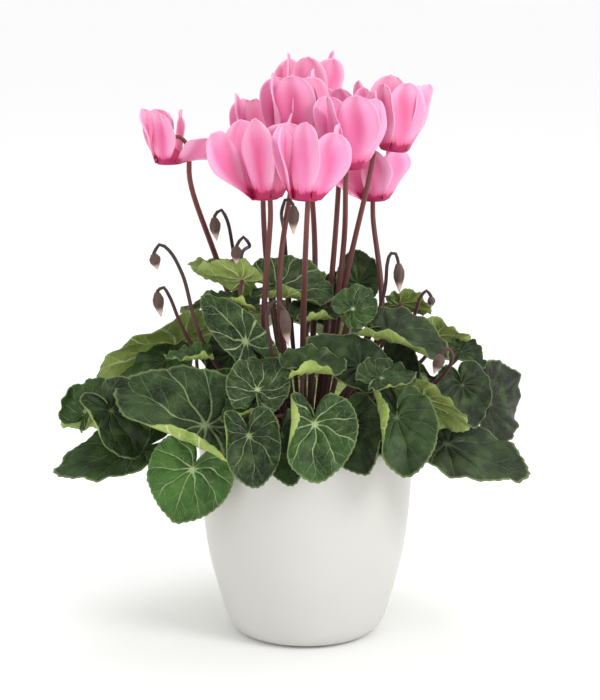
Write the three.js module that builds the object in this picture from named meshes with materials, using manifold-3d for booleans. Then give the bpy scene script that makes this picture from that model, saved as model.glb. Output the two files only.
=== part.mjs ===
// A potted cyclamen in flower: a plain white pot, the soil in it, a corm that carries every stalk and bud,
// heart-shaped leaf blades and nodding pink blooms with five swept-back petals.
// Millimetres. Z is up, the pot stands on z = 0 with its axis at x = y = 0, and -Y is the front.
import * as THREE from "three";
import { mergeVertices } from "three/addons/utils/BufferGeometryUtils.js";
import Module from "manifold-3d";

const wasm = await Module();
wasm.setup();

// Pot: outer radius at heights above a rounded heel
const RIM_HEIGHT = 130;
const WALL = 4;
const FLOOR = 5;
const FLOOR_RADIUS = 44;
const FLOOR_FILLET = 1.5;
const FOOT_RADIUS = 41;
const HEEL = { radius: 47.4, height: 2 };
const LIP_ROUNDING = 0.8;
const POT_OUTSIDE = [
  { radius: 51.5, height: 8 },
  { radius: 57.5, height: 28 },
  { radius: 63.7, height: 53 },
  { radius: 67.6, height: 84 },
  { radius: 70, height: 128.8 },
];
const POT_SIDES = 28;
const SEAT_GAP = 0.3;
const SLIVER = 0.02;

// Soil and corm
const SOIL_LEVEL = 116;
const SOIL_EDGE = 64.9;
const SOIL_EDGE_DROP = 1;
const SOIL_SWELL = { radius: 50, height: 0.6 };
const CORM_RADIUS = 31;
const CORM_HALF_HEIGHT = 15;
const CORM_MIDDLE = 113;
const CORM_RINGS = 7;
const CORM_SIDES = 12;
const ROOT_DEPTH = 4;

// Leaf blades: reach from the navel as a share of the length, from the tip round to the notch of the heart
const BLADE_THICKNESS = 0.9;
const BLADE_CLEARANCE = 0.35;
const BLADE_REACH = [1, 0.91, 0.85, 0.82, 0.8, 0.77, 0.7, 0.54, 0.12];
const BLADE_STEPS = 16;
const INNER_SHARE = 0.6;
const HALF_WIDTH_SHARE = 0.8;
const SECTION_STEPS = 6;
const ROLL_POWER = 2;
const TIP_CURL_SHARE = 0.35;
const WAVES_ROUND_THE_EDGE = 5;
const PHASE_STEP = 2.4;
const DEFAULT_FORM = { wide: 0.78, fold: 6, cup: 0, left: 0, right: 0, droop: 12, wave: 1.1 };
const TINY = 1e-6;

// Leaf stalks
const PETIOLE_RADIUS = 1.6;
const PETIOLE_GAP = 0.55;
const PETIOLE_ROOT = { share: 0.25, least: 6, most: 25 };
const PETIOLE_NECK = 11;
const PETIOLE_NECK_BACK = 2;
const PETIOLE_MIDDLE = 0.55;
const OVER_THE_RIM = 8;
const PETIOLE_SIDES = 3;
const PETIOLE_STEPS = 3;

// Blooms: a petal's width at its rows, from inside the mouth to the tip, and where its face looks
// at its root, its lip and beyond, in degrees from straight down
const PETALS = 5;
const FIRST_PETAL = 54;
const PETAL_STEP = 63;
const PETAL_WIDTHS = [0.3, 0.4, 0.74, 0.98, 0.62];
const PETAL_THICKNESS = 0.9;
const PETAL_BULGE = 0.05;
const LIP_TWIST_SHARE = 0.3;
const PETAL_CUP = 0.14;
const TIP_POINT = 2.5;
const MOUTH_RADIUS = 9;
const MOUTH_DROP = 0.5;
const PETAL_ROOT = { radius: 6, height: 1.4 };
const PETAL_FACING = [0, 32, 90];
const PETAL_STAGGER = 0.17;
const TUBE_TOP = 9.5;
const TUBE_PROFILE = [[0, 3.2], [5.4, 1.6], [6.6, -0.8], [8, -0.8], [8.3, 2], [6.2, 7], [0, TUBE_TOP]];
const TUBE_SIDES = 8;

// Flower stems: the hook goes up beside the tube, over and down into it, as radius and height about the axis
const STEM_RADIUS = 1.9;
const STEM_SIDES = 5;
const STEM_STEPS = 5;
const HOOK_RADIUS = 1.2;
const HOOK_SIDES = 4;
const STEM_ROOT_SHARE = 0.3;
const STEM_ROOT_RING = 10;
const BESIDE = 12.5;
const BESIDE_HEIGHTS = [-12, 4];
const HOOK = [[10.5, 12], [5.5, 16], [0.8, 13.5]];
const SPLICE = 0.8;

// Buds
const BUD_RADIUS = 4;
const BUD_SLIMNESS = 0.36;
const BUD_PROFILE = [[0, -1], [0.55, 0.04], [1, 0.3], [0.92, 0.52], [0.5, 0.76], [0, 1]];
const BUD_SIDES = 6;
const BUD_STALK_RADIUS = 1.5;
const BUD_STALK_STEPS = 3;
const BUD_ROOT_SHARE = 0.25;
const BUD_ROOT_RING = 20;

const vec = (x, y, z) => new THREE.Vector3(x, y, z);
const radians = THREE.MathUtils.degToRad;

// Each blade: where its stalk meets it, where its tip points, which way its upper face looks, and its form.
// Angles: fold lifts both halves, cup bends them, left and right roll a margin up, droop bends the tip.
const FRONT_LEAVES = [
  { name: "hang", navel: [-71, -58, 122], tip: [-85, -63, 90], face: [-0.1, -1, 0.12], wide: 0.96, cup: -8 },
  { name: "rim_centre", navel: [5, -86, 158], tip: [6, -104, 127],
    face: [0, -0.8, 0.6], wide: 0.92, right: 175 },
  { name: "rim_mid_left", navel: [-35, -86, 151], tip: [-30, -99, 122],
    face: [0.05, -0.9, 0.4], wide: 0.8, left: 50, right: 110 },
  { name: "rim_right", navel: [56, -70, 158], tip: [63, -94, 129],
    face: [0.15, -0.8, 0.6], wide: 0.8, right: 180 },
  { name: "centre", navel: [-30, -66, 176], tip: [-24, -44, 195],
    face: [0.05, -0.55, 0.83], wide: 0.85, cup: 12 },
  { name: "right_tip", navel: [88, -46, 135], tip: [141, -54, 121], face: [0.15, -0.42, 0.9], wide: 0.66 },
  { name: "big_left", navel: [-63, -60, 153], tip: [-127, -42, 181],
    face: [-0.3, -0.6, 0.74], wide: 0.66, left: 150, right: 20 },
  { name: "left_cup", navel: [-122, -46, 157], tip: [-103, -52, 129],
    face: [-0.1, -0.8, 0.6], wide: 0.85, left: 20, right: 100 },
  { name: "left_tip", navel: [-111, -30, 128], tip: [-160, -40, 118], face: [-0.1, -0.42, 0.9], wide: 0.62 },
  { name: "left_bright", navel: [-86, 24, 184], tip: [-146, 30, 148], face: [-0.45, 0.55, 0.7], wide: 0.6 },
  { name: "round_right", navel: [46, -66, 182], tip: [67, -53, 186],
    face: [0.1, -0.5, 0.86], wide: 0.8, right: 70 },
  { name: "slant", navel: [33, -46, 186], tip: [1, -40, 203],
    face: [-0.3, -0.62, 0.72], wide: 0.62, left: 45 },
  { name: "top_centre", navel: [-17, 8, 226], tip: [20, 13, 223],
    face: [0, -0.7, 0.7], wide: 0.75, left: 14, right: 150 },
  { name: "pointed", navel: [-38, -31, 198], tip: [-66, -17, 226],
    face: [0.1, -0.85, 0.5], wide: 0.44, right: 40 },
  { name: "right_far", navel: [119, -8, 152], tip: [141, 20, 164],
    face: [0.62, -0.74, 0.2], wide: 0.9, cup: -8 },
  { name: "right_shelf", navel: [51, -22, 200], tip: [92, -28, 190],
    face: [0.1, -0.38, 0.92], wide: 0.78, right: 100 },
  { name: "left_face", navel: [-140, -32, 153], tip: [-128, -24, 173],
    face: [-0.35, -0.8, 0.5], wide: 0.95, left: 130, right: 130 },
  { name: "cup_low", navel: [-1, -58, 185], tip: [25, -52, 188],
    face: [0, -0.4, 0.92], wide: 0.85, left: 50, right: 130 },
  { name: "lime_top", navel: [-41, 3, 231], tip: [-70, 5, 241], face: [0.05, 0.75, 0.66], wide: 0.62 },
  { name: "curl_top", navel: [-42, -8, 219], tip: [-68, -2, 226],
    face: [0, -0.35, 0.93], wide: 0.6, left: 140 },
  { name: "up_right", navel: [29, -10, 213], tip: [43, 0, 223], face: [0.2, -0.7, 0.6], wide: 0.9 },
  { name: "top_right", navel: [34, 34, 224], tip: [34, 42, 246], face: [0.05, -0.95, 0.35] },
];
const FILLING_LEAVES = [
  { name: "rolled_right", navel: [74, -44, 163], tip: [103, -40, 143],
    face: [0.3, 0.75, 0.6], wide: 0.6, fold: -8 },
  { name: "rim_shade", navel: [31, -60, 152], tip: [42, -84, 117], face: [0.1, -0.85, 0.45], fold: 4 },
  { name: "rim_dark", navel: [-14, -64, 143], tip: [-9, -86, 119],
    face: [-0.1, -0.85, 0.45], wide: 0.65, right: 90 },
  { name: "left_under", navel: [-51, -52, 164], tip: [-88, -42, 173], face: [-0.1, -0.5, 0.85], wide: 0.7 },
  { name: "centre_lobe", navel: [-41, -72, 171], tip: [-57, -72, 165], face: [-0.1, -0.55, 0.8], left: 110 },
  { name: "right_dark", navel: [99, -28, 169], tip: [108, -38, 144], face: [0.3, -0.85, 0.4] },
  { name: "right_back", navel: [83, 8, 195], tip: [109, 10, 189], face: [0.3, 0.75, 0.6], wide: 0.7 },
  { name: "right_lime", navel: [60, 26, 211], tip: [81, 28, 208], face: [0.2, 0.7, 0.65], wide: 0.8 },
  { name: "cup_high", navel: [9, -8, 209], tip: [31, 0, 211],
    face: [0, -0.4, 0.92], wide: 0.8, left: 50, right: 130 },
  { name: "small_left", navel: [-69, -32, 189], tip: [-89, -34, 190],
    face: [0, -0.35, 0.93], wide: 0.7, left: 130 },
  { name: "right_small", navel: [100, -6, 186], tip: [116, -10, 178], face: [0.4, -0.6, 0.7] },
  { name: "inner_right", navel: [50, -6, 170], tip: [58, -16, 138], face: [0.3, -0.9, 0.3], wide: 0.85 },
  { name: "inner_left", navel: [-48, -8, 186], tip: [-54, -18, 158], face: [-0.2, -0.9, 0.3], wide: 0.8 },
  { name: "inner_back", navel: [14, 26, 216], tip: [20, 30, 190], face: [0, -0.95, 0.3], wide: 0.9 },
  { name: "top_left", navel: [-52, 38, 221], tip: [-80, 42, 230], face: [-0.3, 0.55, 0.8] },
  { name: "back_left_low", navel: [-84, 44, 148], tip: [-120, 66, 122],
    face: [-0.45, 0.3, 0.85], wide: 0.85 },
  { name: "back_left_mid", navel: [-70, 52, 180], tip: [-100, 78, 160], face: [-0.4, 0.2, 0.9], wide: 0.9 },
  { name: "back_top", navel: [-12, 56, 222], tip: [-18, 92, 214], face: [0, 0.3, 0.95], wide: 0.9 },
  { name: "left_dark", navel: [-82, -4, 180], tip: [-116, -8, 170], face: [-0.2, -0.3, 0.93], wide: 0.6 },
  { name: "back_mid_left", navel: [-20, 68, 196], tip: [-32, 108, 180],
    face: [-0.1, 0.35, 0.93], wide: 0.9 },
  { name: "back_mid_far", navel: [-56, 58, 203], tip: [-88, 80, 190], face: [-0.25, 0.25, 0.93], wide: 0.7 },
  { name: "far_left", navel: [-130, -20, 145], tip: [-158, -14, 138], face: [-0.2, 0.85, 0.45], wide: 0.6 },
];

// The back and the sides that face away: fans of three leaves that rest on one another, by azimuth from +X
const FANS = [
  { name: "back_low_right", azimuth: 42, radius: 92, height: 156, slope: 34, length: 48, spread: 21 },
  { name: "back_low_middle", azimuth: 106, radius: 88, height: 150, slope: 34, length: 46, spread: 20 },
  { name: "back_mid_right", azimuth: 55, radius: 72, height: 194, slope: 24, length: 42, spread: 25 },
];
const FAN_DROP = 2;
const FAN_WIDE = 0.92;

// Each bloom: the middle of its mouth, the tilt of its axis, a lower point of its stem, the azimuth where the
// stem passes between two petals, the petals' length and width, and how far each petal leans out and twists.
const BLOOMS = [
  { name: "front", mouth: [-1, -64, 293], lean: [0.06, 0], via: [-2, -14, 192], gap: 80,
    length: 43, width: 21, spread: [12, 9, 7, 17, 12], twist: [20, 30, 35, 55, 20] },
  { name: "front_left", mouth: [-25, -36, 290], lean: [-0.04, 0], via: [-26, -12, 192], gap: 80,
    length: 47, width: 25, spread: [14, 31, 10, 8, 10], twist: [20, 60, 38, 30, 20] },
  { name: "left", mouth: [-86, -5, 308], lean: [-0.02, 0], via: [-57, 24, 238], gap: 10,
    length: 32, width: 18, spread: [15, 8, 8, 9, 66], twist: [62, 20, 20, 22, 45] },
  { name: "right_front", mouth: [27, -32, 308], lean: [0.02, 0], via: [24, 12, 250], gap: 100,
    length: 43, width: 23, spread: [10, 10, 13, 9, 12], twist: [20, 20, 30, 36, 20] },
  { name: "right", mouth: [55, -4, 316], lean: [0.12, 0], via: [26, 16, 230], gap: 170,
    length: 41, width: 22, spread: [10, 6, 10, 8, 8], twist: [20, 24, 20, 34, 20] },
  { name: "right_low", mouth: [44, 30, 280], lean: [0, 0], via: [48, 14, 197], gap: 90,
    length: 34, width: 22, spread: [16, 46, 14, 14, 12], twist: [20, 50, 36, 20, 20] },
  { name: "middle", mouth: [-8, -6, 316], lean: [0, 0], via: [-17, -16, 230], gap: 90,
    length: 46, width: 26, spread: [5, 5, 8, 6, 5], twist: [20, 34, 20, 34, 20] },
  { name: "top", mouth: [2, 74, 320], lean: [0, 0], via: [6, 46, 240], gap: 90,
    length: 48, width: 22, spread: [10, 9, 7, 9, 10], twist: [20, 34, 20, 34, 20] },
  { name: "right_middle", mouth: [22, 32, 308], lean: [0.02, 0], via: [18, 34, 240], gap: 90,
    length: 43, width: 20, spread: [8, 7, 7, 8, 8], twist: [20, 20, 22, 20, 20] },
  { name: "back_left", mouth: [-30, 30, 303], lean: [-0.02, 0.02], via: [-26, 34, 240], gap: 84,
    length: 42, width: 21, spread: [5, 6, 9, 8, 8], twist: [20, 24, 34, 20, 20] },
];

// Each bud: its length and lean, and the points of its stalk from the leaves up, over and down to it
const BUDS = [
  { size: 11, lean: [0.25, 0],
    points: [[-66, -18, 196], [-78, -20, 239], [-86, -20, 254], [-92, -20, 258], [-96, -20, 252]] },
  { size: 17, lean: [0.15, 0], points: [[-76, -8, 196], [-87, -10, 223], [-91, -10, 229], [-95, -10, 226]] },
  { size: 24, lean: [0.12, 0], points: [[-22, -42, 196], [-24, -45, 219], [-19, -47, 227], [-14, -47, 222]] },
  { size: 20, lean: [0.05, 0],
    points: [[50, 4, 222], [52, 0, 243], [54, 0, 249], [57, 0, 249], [59, 0, 243]] },
  { size: 8, lean: [0, 0], points: [[70, 12, 206], [74, 10, 219], [78, 10, 223], [81, 10, 219]] },
  { size: 14, lean: [-0.35, 0], points: [[86, -38, 178], [91, -45, 192], [88, -46, 197], [84, -46, 193]] },
  { size: 16, lean: [0.1, 0],
    points: [[-42, 36, 214], [-47, 22, 246], [-51, 10, 270], [-55, 10, 276], [-59, 10, 271]] },
  { size: 12, lean: [0, 0],
    points: [[-42, 34, 214], [-42, 22, 244], [-36, -12, 257], [-40, -15, 262], [-44, -15, 256]] },
  { size: 19, lean: [0, 0],
    points: [[-12, 40, 226], [-14, 30, 256], [-15, -14, 280], [-12, -15, 287], [-8, -15, 282]] },
];

// The small changes that a blade may make to lie clear of what is already there, and what each of them costs
const SCALES = [1, 0.88, 0.76];
const TILTS = [0, 15, -15, 30, -30];
const FARTHEST = 14;
const FAR_STEP = 2;
const WAYS = 4;
const TILT_COST = 0.3;
const SCALE_COST = 45;

// The lifts and side steps of a leaf stalk's middle, and the steps of a bloom into depth, in the order tried
const LIFTS = [0, 8, -6, 16, -12];
const ASIDES = [0, 7, -7, 14, -14, 21, -21];
const DEEPER = vec(0, 0.978, -0.208);
const DEPTHS = [0, 3, -3, 6, -6, 9, -9, 12, -12, 15, -15, 18, -18, 21, -21, 24, -24, 27, -27, 30, -30];

const MATERIALS = {
  pot: new THREE.MeshStandardMaterial({ color: 0xf1f0ee, roughness: 0.55, metalness: 0 }),
  soil: new THREE.MeshStandardMaterial({ color: 0x3a2a20, roughness: 1, metalness: 0 }),
  crown: new THREE.MeshStandardMaterial({ color: 0x6b3a34, roughness: 0.7, metalness: 0 }),
  leaf: new THREE.MeshStandardMaterial({ color: 0x2f4f35, roughness: 0.5, metalness: 0 }),
  petal: new THREE.MeshStandardMaterial({ color: 0xef7ea6, roughness: 0.6, metalness: 0 }),
};

// A geometry whose points are bare, so that shared ones can be merged
function bareGeometry(points, triangles) {
  const positions = new Float32Array(points.flatMap((p) => [p.x, p.y, p.z]));
  const geometry = new THREE.BufferGeometry();
  geometry.setAttribute("position", new THREE.BufferAttribute(positions, 3));
  geometry.setIndex(triangles.flat());
  return geometry;
}

// Six times the volume that a closed geometry's faces enclose, below zero when they face inwards
function enclosed(positions, index) {
  const corner = (i) => vec().fromArray(positions, index[i] * 3);
  let sum = 0;
  for (let i = 0; i < index.length; i += 3) {
    sum += corner(i).dot(corner(i + 1).cross(corner(i + 2)));
  }
  return sum;
}

// A closed geometry as a solid that can be joined, cut and measured, its faces turned outwards
function solidOf(geometry) {
  geometry.deleteAttribute("normal");
  geometry.deleteAttribute("uv");
  const merged = mergeVertices(geometry);
  const positions = merged.getAttribute("position").array;
  const triangles = Uint32Array.from(merged.getIndex().array);
  if (enclosed(positions, triangles) < 0) triangles.reverse();
  return new wasm.Manifold(new wasm.Mesh({ numProp: 3, vertProperties: positions, triVerts: triangles }));
}

function meshOf(name, solid, material) {
  const made = solid.getMesh();
  const geometry = new THREE.BufferGeometry();
  geometry.setAttribute("position", new THREE.BufferAttribute(made.vertProperties, 3));
  geometry.setIndex(new THREE.BufferAttribute(made.triVerts, 1));
  geometry.computeVertexNormals();
  const mesh = new THREE.Mesh(geometry, material);
  mesh.name = name;
  return mesh;
}

// Solids joined to one body, without the slivers too small to see and the hollows that the joining seals
function joined(solids) {
  const bodies = solids.reduce((whole, piece) => whole.add(piece)).simplify(SLIVER).decompose();
  return bodies.reduce((largest, body) => (body.volume() > largest.volume() ? body : largest));
}

// Whether two solids share any space, with their boxes compared first
function meets(a, b) {
  const boxA = a.boundingBox();
  const boxB = b.boundingBox();
  const apart = [0, 1, 2].some((k) => boxA.min[k] > boxB.max[k] || boxB.min[k] > boxA.max[k]);
  return !apart && !a.intersect(b).isEmpty();
}

const meetsAny = (solid, others) => others.some((other) => meets(solid, other));

// A profile of radius and height turned about the vertical axis
function turned(profile, sides) {
  const points = profile.map(([radius, height]) => new THREE.Vector2(radius, height));
  return solidOf(new THREE.LatheGeometry(points, sides).rotateX(Math.PI / 2));
}

// Pot and soil
const outside = POT_OUTSIDE.map(({ radius, height }) => [radius, height]);
const wallInside = POT_OUTSIDE.map(({ radius, height }) => [radius - WALL, height]);

function potSolid() {
  const top = POT_OUTSIDE[POT_OUTSIDE.length - 1].radius;
  const foot = [[0, 0], [FOOT_RADIUS, 0], [HEEL.radius, HEEL.height]];
  const rim = [[top - LIP_ROUNDING, RIM_HEIGHT], [top - WALL + LIP_ROUNDING, RIM_HEIGHT]];
  const inside = wallInside.slice(1).reverse();
  const floor = [[FLOOR_RADIUS, FLOOR + FLOOR_FILLET], [0, FLOOR]];
  return turned([...foot, ...outside, ...rim, ...inside, ...floor], POT_SIDES);
}

function soilSolid(corm) {
  const side = wallInside.slice(1, -1).map(([radius, height]) => [radius - SEAT_GAP, height]);
  const bottom = [[0, FLOOR + SEAT_GAP], [FLOOR_RADIUS - SEAT_GAP, FLOOR + FLOOR_FILLET + SEAT_GAP]];
  const swell = [SOIL_SWELL.radius, SOIL_LEVEL + SOIL_SWELL.height];
  const top = [[SOIL_EDGE, SOIL_LEVEL - SOIL_EDGE_DROP], swell, [0, SOIL_LEVEL]];
  const room = corm.translate([0, 0, -CORM_MIDDLE]).scale(1 + SEAT_GAP / CORM_HALF_HEIGHT);
  return turned([...bottom, ...side, ...top], POT_SIDES).subtract(room.translate([0, 0, CORM_MIDDLE]));
}

// The corm: a flattened ball, half buried
const cormTop = (radius) => CORM_MIDDLE + CORM_HALF_HEIGHT * Math.sqrt(1 - (radius / CORM_RADIUS) ** 2);

function cormSolid() {
  const profile = Array.from({ length: CORM_RINGS + 1 }, (_, k) => {
    const angle = (Math.PI * k) / CORM_RINGS;
    const radius = k % CORM_RINGS ? CORM_RADIUS * Math.sin(angle) : 0;
    return [radius, CORM_MIDDLE - CORM_HALF_HEIGHT * Math.cos(angle)];
  });
  return turned(profile, CORM_SIDES);
}

// A stalk of one thickness along a curve through points
function stalk(points, radius, sides, steps) {
  const corners = Array.from({ length: sides }, (_, k) => {
    const angle = (2 * Math.PI * k) / sides;
    return new THREE.Vector2(radius * Math.cos(angle), radius * Math.sin(angle));
  });
  const extrudePath = new THREE.CatmullRomCurve3(points);
  const options = { steps, extrudePath, bevelEnabled: false };
  return solidOf(new THREE.ExtrudeGeometry(new THREE.Shape(corners), options));
}

// Leaf blades
function formed(row, index) {
  const leaf = { ...DEFAULT_FORM, ...row };
  const navel = vec(...leaf.navel);
  const along = vec(...leaf.tip).sub(navel);
  const length = along.length();
  along.normalize();
  const side = vec(...leaf.face).cross(along).normalize();
  const up = along.clone().cross(side);
  const angles = ["fold", "cup", "left", "right", "droop"].map((key) => [key, radians(leaf[key])]);
  const phase = index * PHASE_STEP;
  return { ...leaf, ...Object.fromEntries(angles), navel, along, side, up, length, phase };
}

// How far a blade's half reaches out and rises at a distance across from the midrib, and its slope there
function sectionAt(leaf, alongMidrib, across, curl) {
  const halfWidth = HALF_WIDTH_SHARE * leaf.length * leaf.wide;
  const towardsBase = THREE.MathUtils.clamp(1 - alongMidrib / leaf.length, 0, 1);
  const roll = curl * (TIP_CURL_SHARE + (1 - TIP_CURL_SHARE) * towardsBase);
  const step = across / SECTION_STEPS;
  const section = { out: 0, rise: 0, slope: leaf.fold };
  for (let k = 0; k < SECTION_STEPS; k += 1) {
    const share = ((k + 0.5) * step) / halfWidth;
    section.slope = leaf.fold + leaf.cup * share + roll * share ** ROLL_POWER;
    section.out += step * Math.cos(section.slope);
    section.rise += step * Math.sin(section.slope);
  }
  return section;
}

// A point of the blade at a share of its reach and an outline step, moved off its middle surface by an offset
function bladePoint(leaf, share, outlineStep, offset) {
  const angle = (2 * Math.PI * outlineStep) / BLADE_STEPS;
  const reach = share * leaf.length * BLADE_REACH[Math.min(outlineStep, BLADE_STEPS - outlineStep)];
  const alongMidrib = reach * Math.cos(angle);
  const across = reach * Math.sin(angle) * leaf.wide;
  const hand = Math.sign(across);
  const section = sectionAt(leaf, alongMidrib, Math.abs(across), hand < 0 ? leaf.right : leaf.left);
  const wave = leaf.wave * share ** 3 * Math.sin(WAVES_ROUND_THE_EDGE * angle + leaf.phase);
  const turn = (leaf.droop * Math.max(alongMidrib, 0)) / leaf.length + TINY;
  const normal = mixed(leaf.up, leaf.along, turn);
  const facing = mixed(normal, leaf.side, -hand * section.slope);
  const point = leaf.navel.clone().addScaledVector(leaf.along, (alongMidrib * Math.sin(turn)) / turn);
  point.addScaledVector(leaf.up, (-alongMidrib * (1 - Math.cos(turn))) / turn);
  point.addScaledVector(leaf.side, hand * section.out);
  point.addScaledVector(normal, section.rise + wave);
  return point.addScaledVector(facing, offset);
}

// A blade of a thickness: a middle, an inner ring and an outline on each face, split alike, and the edge
function bladeSolid(leaf, thickness) {
  const inner = BLADE_STEPS / 2;
  const side = 1 + inner + BLADE_STEPS;
  const points = [];
  for (const offset of [thickness / 2, -thickness / 2]) {
    points.push(leaf.navel.clone().addScaledVector(leaf.up, offset));
    for (let j = 0; j < inner; j += 1) points.push(bladePoint(leaf, INNER_SHARE, 2 * j, offset));
    for (let j = 0; j < BLADE_STEPS; j += 1) points.push(bladePoint(leaf, 1, j, offset));
  }
  const triangles = [];
  const bothFaces = (a, b, c) => triangles.push([a, b, c], [a + side, c + side, b + side]);
  for (let j = 0; j < inner; j += 1) {
    const here = 1 + j;
    const next = 1 + ((j + 1) % inner);
    const edge = [0, 1, 2].map((k) => 1 + inner + ((2 * j + k) % BLADE_STEPS));
    bothFaces(0, here, next);
    bothFaces(here, edge[0], edge[1]);
    bothFaces(here, edge[1], next);
    bothFaces(next, edge[1], edge[2]);
  }
  for (let j = 0; j < BLADE_STEPS; j += 1) {
    const here = 1 + inner + j;
    const next = 1 + inner + ((j + 1) % BLADE_STEPS);
    triangles.push([here, here + side, next + side], [here, next + side, next]);
  }
  return solidOf(bareGeometry(points, triangles));
}

const bladesOf = (leaves, thickness) => joined(leaves.map((leaf) => bladeSolid(leaf, thickness)));

// The leaves of a fan: the middle one, and one on each side a little lower, tucked under it
function fanLeaves(fan, index) {
  return [0, -1, 1].map((place) => {
    const azimuth = radians(fan.azimuth + place * fan.spread);
    const slope = radians(fan.slope);
    const outward = vec(Math.cos(azimuth), Math.sin(azimuth), 0);
    const navel = outward.clone().multiplyScalar(fan.radius).setZ(fan.height - FAN_DROP * Math.abs(place));
    const along = outward.clone().multiplyScalar(Math.cos(slope)).setZ(-Math.sin(slope));
    const face = outward.clone().multiplyScalar(Math.sin(slope)).setZ(Math.cos(slope));
    const tip = navel.clone().addScaledVector(along, fan.length);
    const row = { name: fan.name, navel, tip, face, fold: 0, wide: FAN_WIDE };
    return formed(row, index * 3 + place);
  });
}

// Every change of scale, tilt and place that a blade may make, least first
function changesInOrder() {
  const changes = [];
  for (const scale of SCALES) {
    for (const tilt of TILTS) {
      const cost = TILT_COST * Math.abs(tilt) + SCALE_COST * (1 - scale);
      changes.push({ scale, tilt, way: 0, far: 0, cost });
      for (let far = FAR_STEP; far <= FARTHEST; far += FAR_STEP) {
        for (let way = 0; way < WAYS; way += 1) {
          const change = { scale, tilt, way, cost: cost + far };
          changes.push({ ...change, far }, { ...change, far: -far });
        }
      }
    }
  }
  return changes.sort((a, b) => a.cost - b.cost);
}
const CHANGES = changesInOrder();
const MOVES = CHANGES.filter(({ scale, tilt }) => scale === 1 && tilt === 0);

// A leaf after a change: scaled about its navel, tilted about its midrib and moved
function changed(leaf, change, lead) {
  const outward = lead.navel.clone().setZ(0).normalize();
  const ways = [lead.up, vec(0, 0, 1), outward, vec(-outward.y, outward.x, 0)];
  const tilt = radians(change.tilt);
  return {
    ...leaf,
    length: leaf.length * change.scale,
    side: leaf.side.clone().applyAxisAngle(leaf.along, tilt),
    up: leaf.up.clone().applyAxisAngle(leaf.along, tilt),
    navel: leaf.navel.clone().addScaledVector(ways[change.way], change.far),
  };
}

// The first change that lets a leaf, or a fan of leaves, and its stalks lie clear; a fan only moves
function settled(group, firm, stalks) {
  for (const change of group.length > 1 ? MOVES : CHANGES) {
    const leaves = group.map((leaf) => changed(leaf, change, group[0]));
    const thick = bladesOf(leaves, BLADE_THICKNESS + 2 * BLADE_CLEARANCE);
    if (meetsAny(thick, firm) || meetsAny(thick, stalks)) continue;
    const blades = bladesOf(leaves, BLADE_THICKNESS);
    const petioles = leaves.map((leaf) => petioleSolid(leaf, [...firm, blades]));
    if (petioles.every(Boolean)) return { blades, petioles };
  }
  throw new Error("no clear place for " + group[0].name);
}

// Leaf stalks: from the corm up, over the rim and to the underside of a blade
function petioleWay(leaf, lift, aside) {
  const azimuth = Math.atan2(leaf.navel.y, leaf.navel.x);
  const spread = Math.hypot(leaf.navel.x, leaf.navel.y);
  const ring = THREE.MathUtils.clamp(spread * PETIOLE_ROOT.share, PETIOLE_ROOT.least, PETIOLE_ROOT.most);
  const root = vec(ring * Math.cos(azimuth), ring * Math.sin(azimuth), cormTop(ring) - ROOT_DEPTH);
  const end = leaf.navel.clone().addScaledVector(leaf.up, -BLADE_THICKNESS / 2 - PETIOLE_GAP);
  const below = end.clone().addScaledVector(leaf.up, -PETIOLE_NECK);
  below.addScaledVector(leaf.along, -PETIOLE_NECK_BACK);
  const middle = root.clone().lerp(below, PETIOLE_MIDDLE);
  middle.z = Math.max(middle.z, RIM_HEIGHT + OVER_THE_RIM) + lift;
  middle.addScaledVector(vec(-Math.sin(azimuth), Math.cos(azimuth), 0), aside);
  return [root, middle, below, end];
}

function petioleSolid(leaf, firm) {
  for (const aside of ASIDES) {
    for (const lift of LIFTS) {
      const solid = stalk(petioleWay(leaf, lift, aside), PETIOLE_RADIUS, PETIOLE_SIDES, PETIOLE_STEPS);
      if (!meetsAny(solid, firm)) return solid;
    }
  }
  return null;
}

// A direction turned from one towards another by an angle
function mixed(from, to, angle) {
  return from.clone().multiplyScalar(Math.cos(angle)).addScaledVector(to, Math.sin(angle));
}

// Blooms
function bloomFrame(bloom) {
  const axis = vec(bloom.lean[0], bloom.lean[1], 1).normalize();
  const gap = radians(bloom.gap);
  const side = axis.clone().cross(vec(Math.cos(gap), Math.sin(gap), 0)).normalize();
  return { mouth: vec(...bloom.mouth), axis, ahead: side.clone().cross(axis), side };
}

// A point at a radius, a height and an angle about a bloom's axis, from the stem's gap
function aboutAxis(frame, radius, height, angle) {
  const point = frame.mouth.clone().addScaledVector(frame.axis, height);
  point.addScaledVector(frame.ahead, radius * Math.cos(angle));
  return point.addScaledVector(frame.side, radius * Math.sin(angle));
}

function petalCentre(bloom, spread, share) {
  const out = Math.sin(spread) * share + PETAL_BULGE * Math.sin(Math.PI * share);
  const up = Math.cos(spread) * share;
  return { radius: MOUTH_RADIUS + bloom.length * out, height: bloom.length * up - MOUTH_DROP };
}

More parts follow.
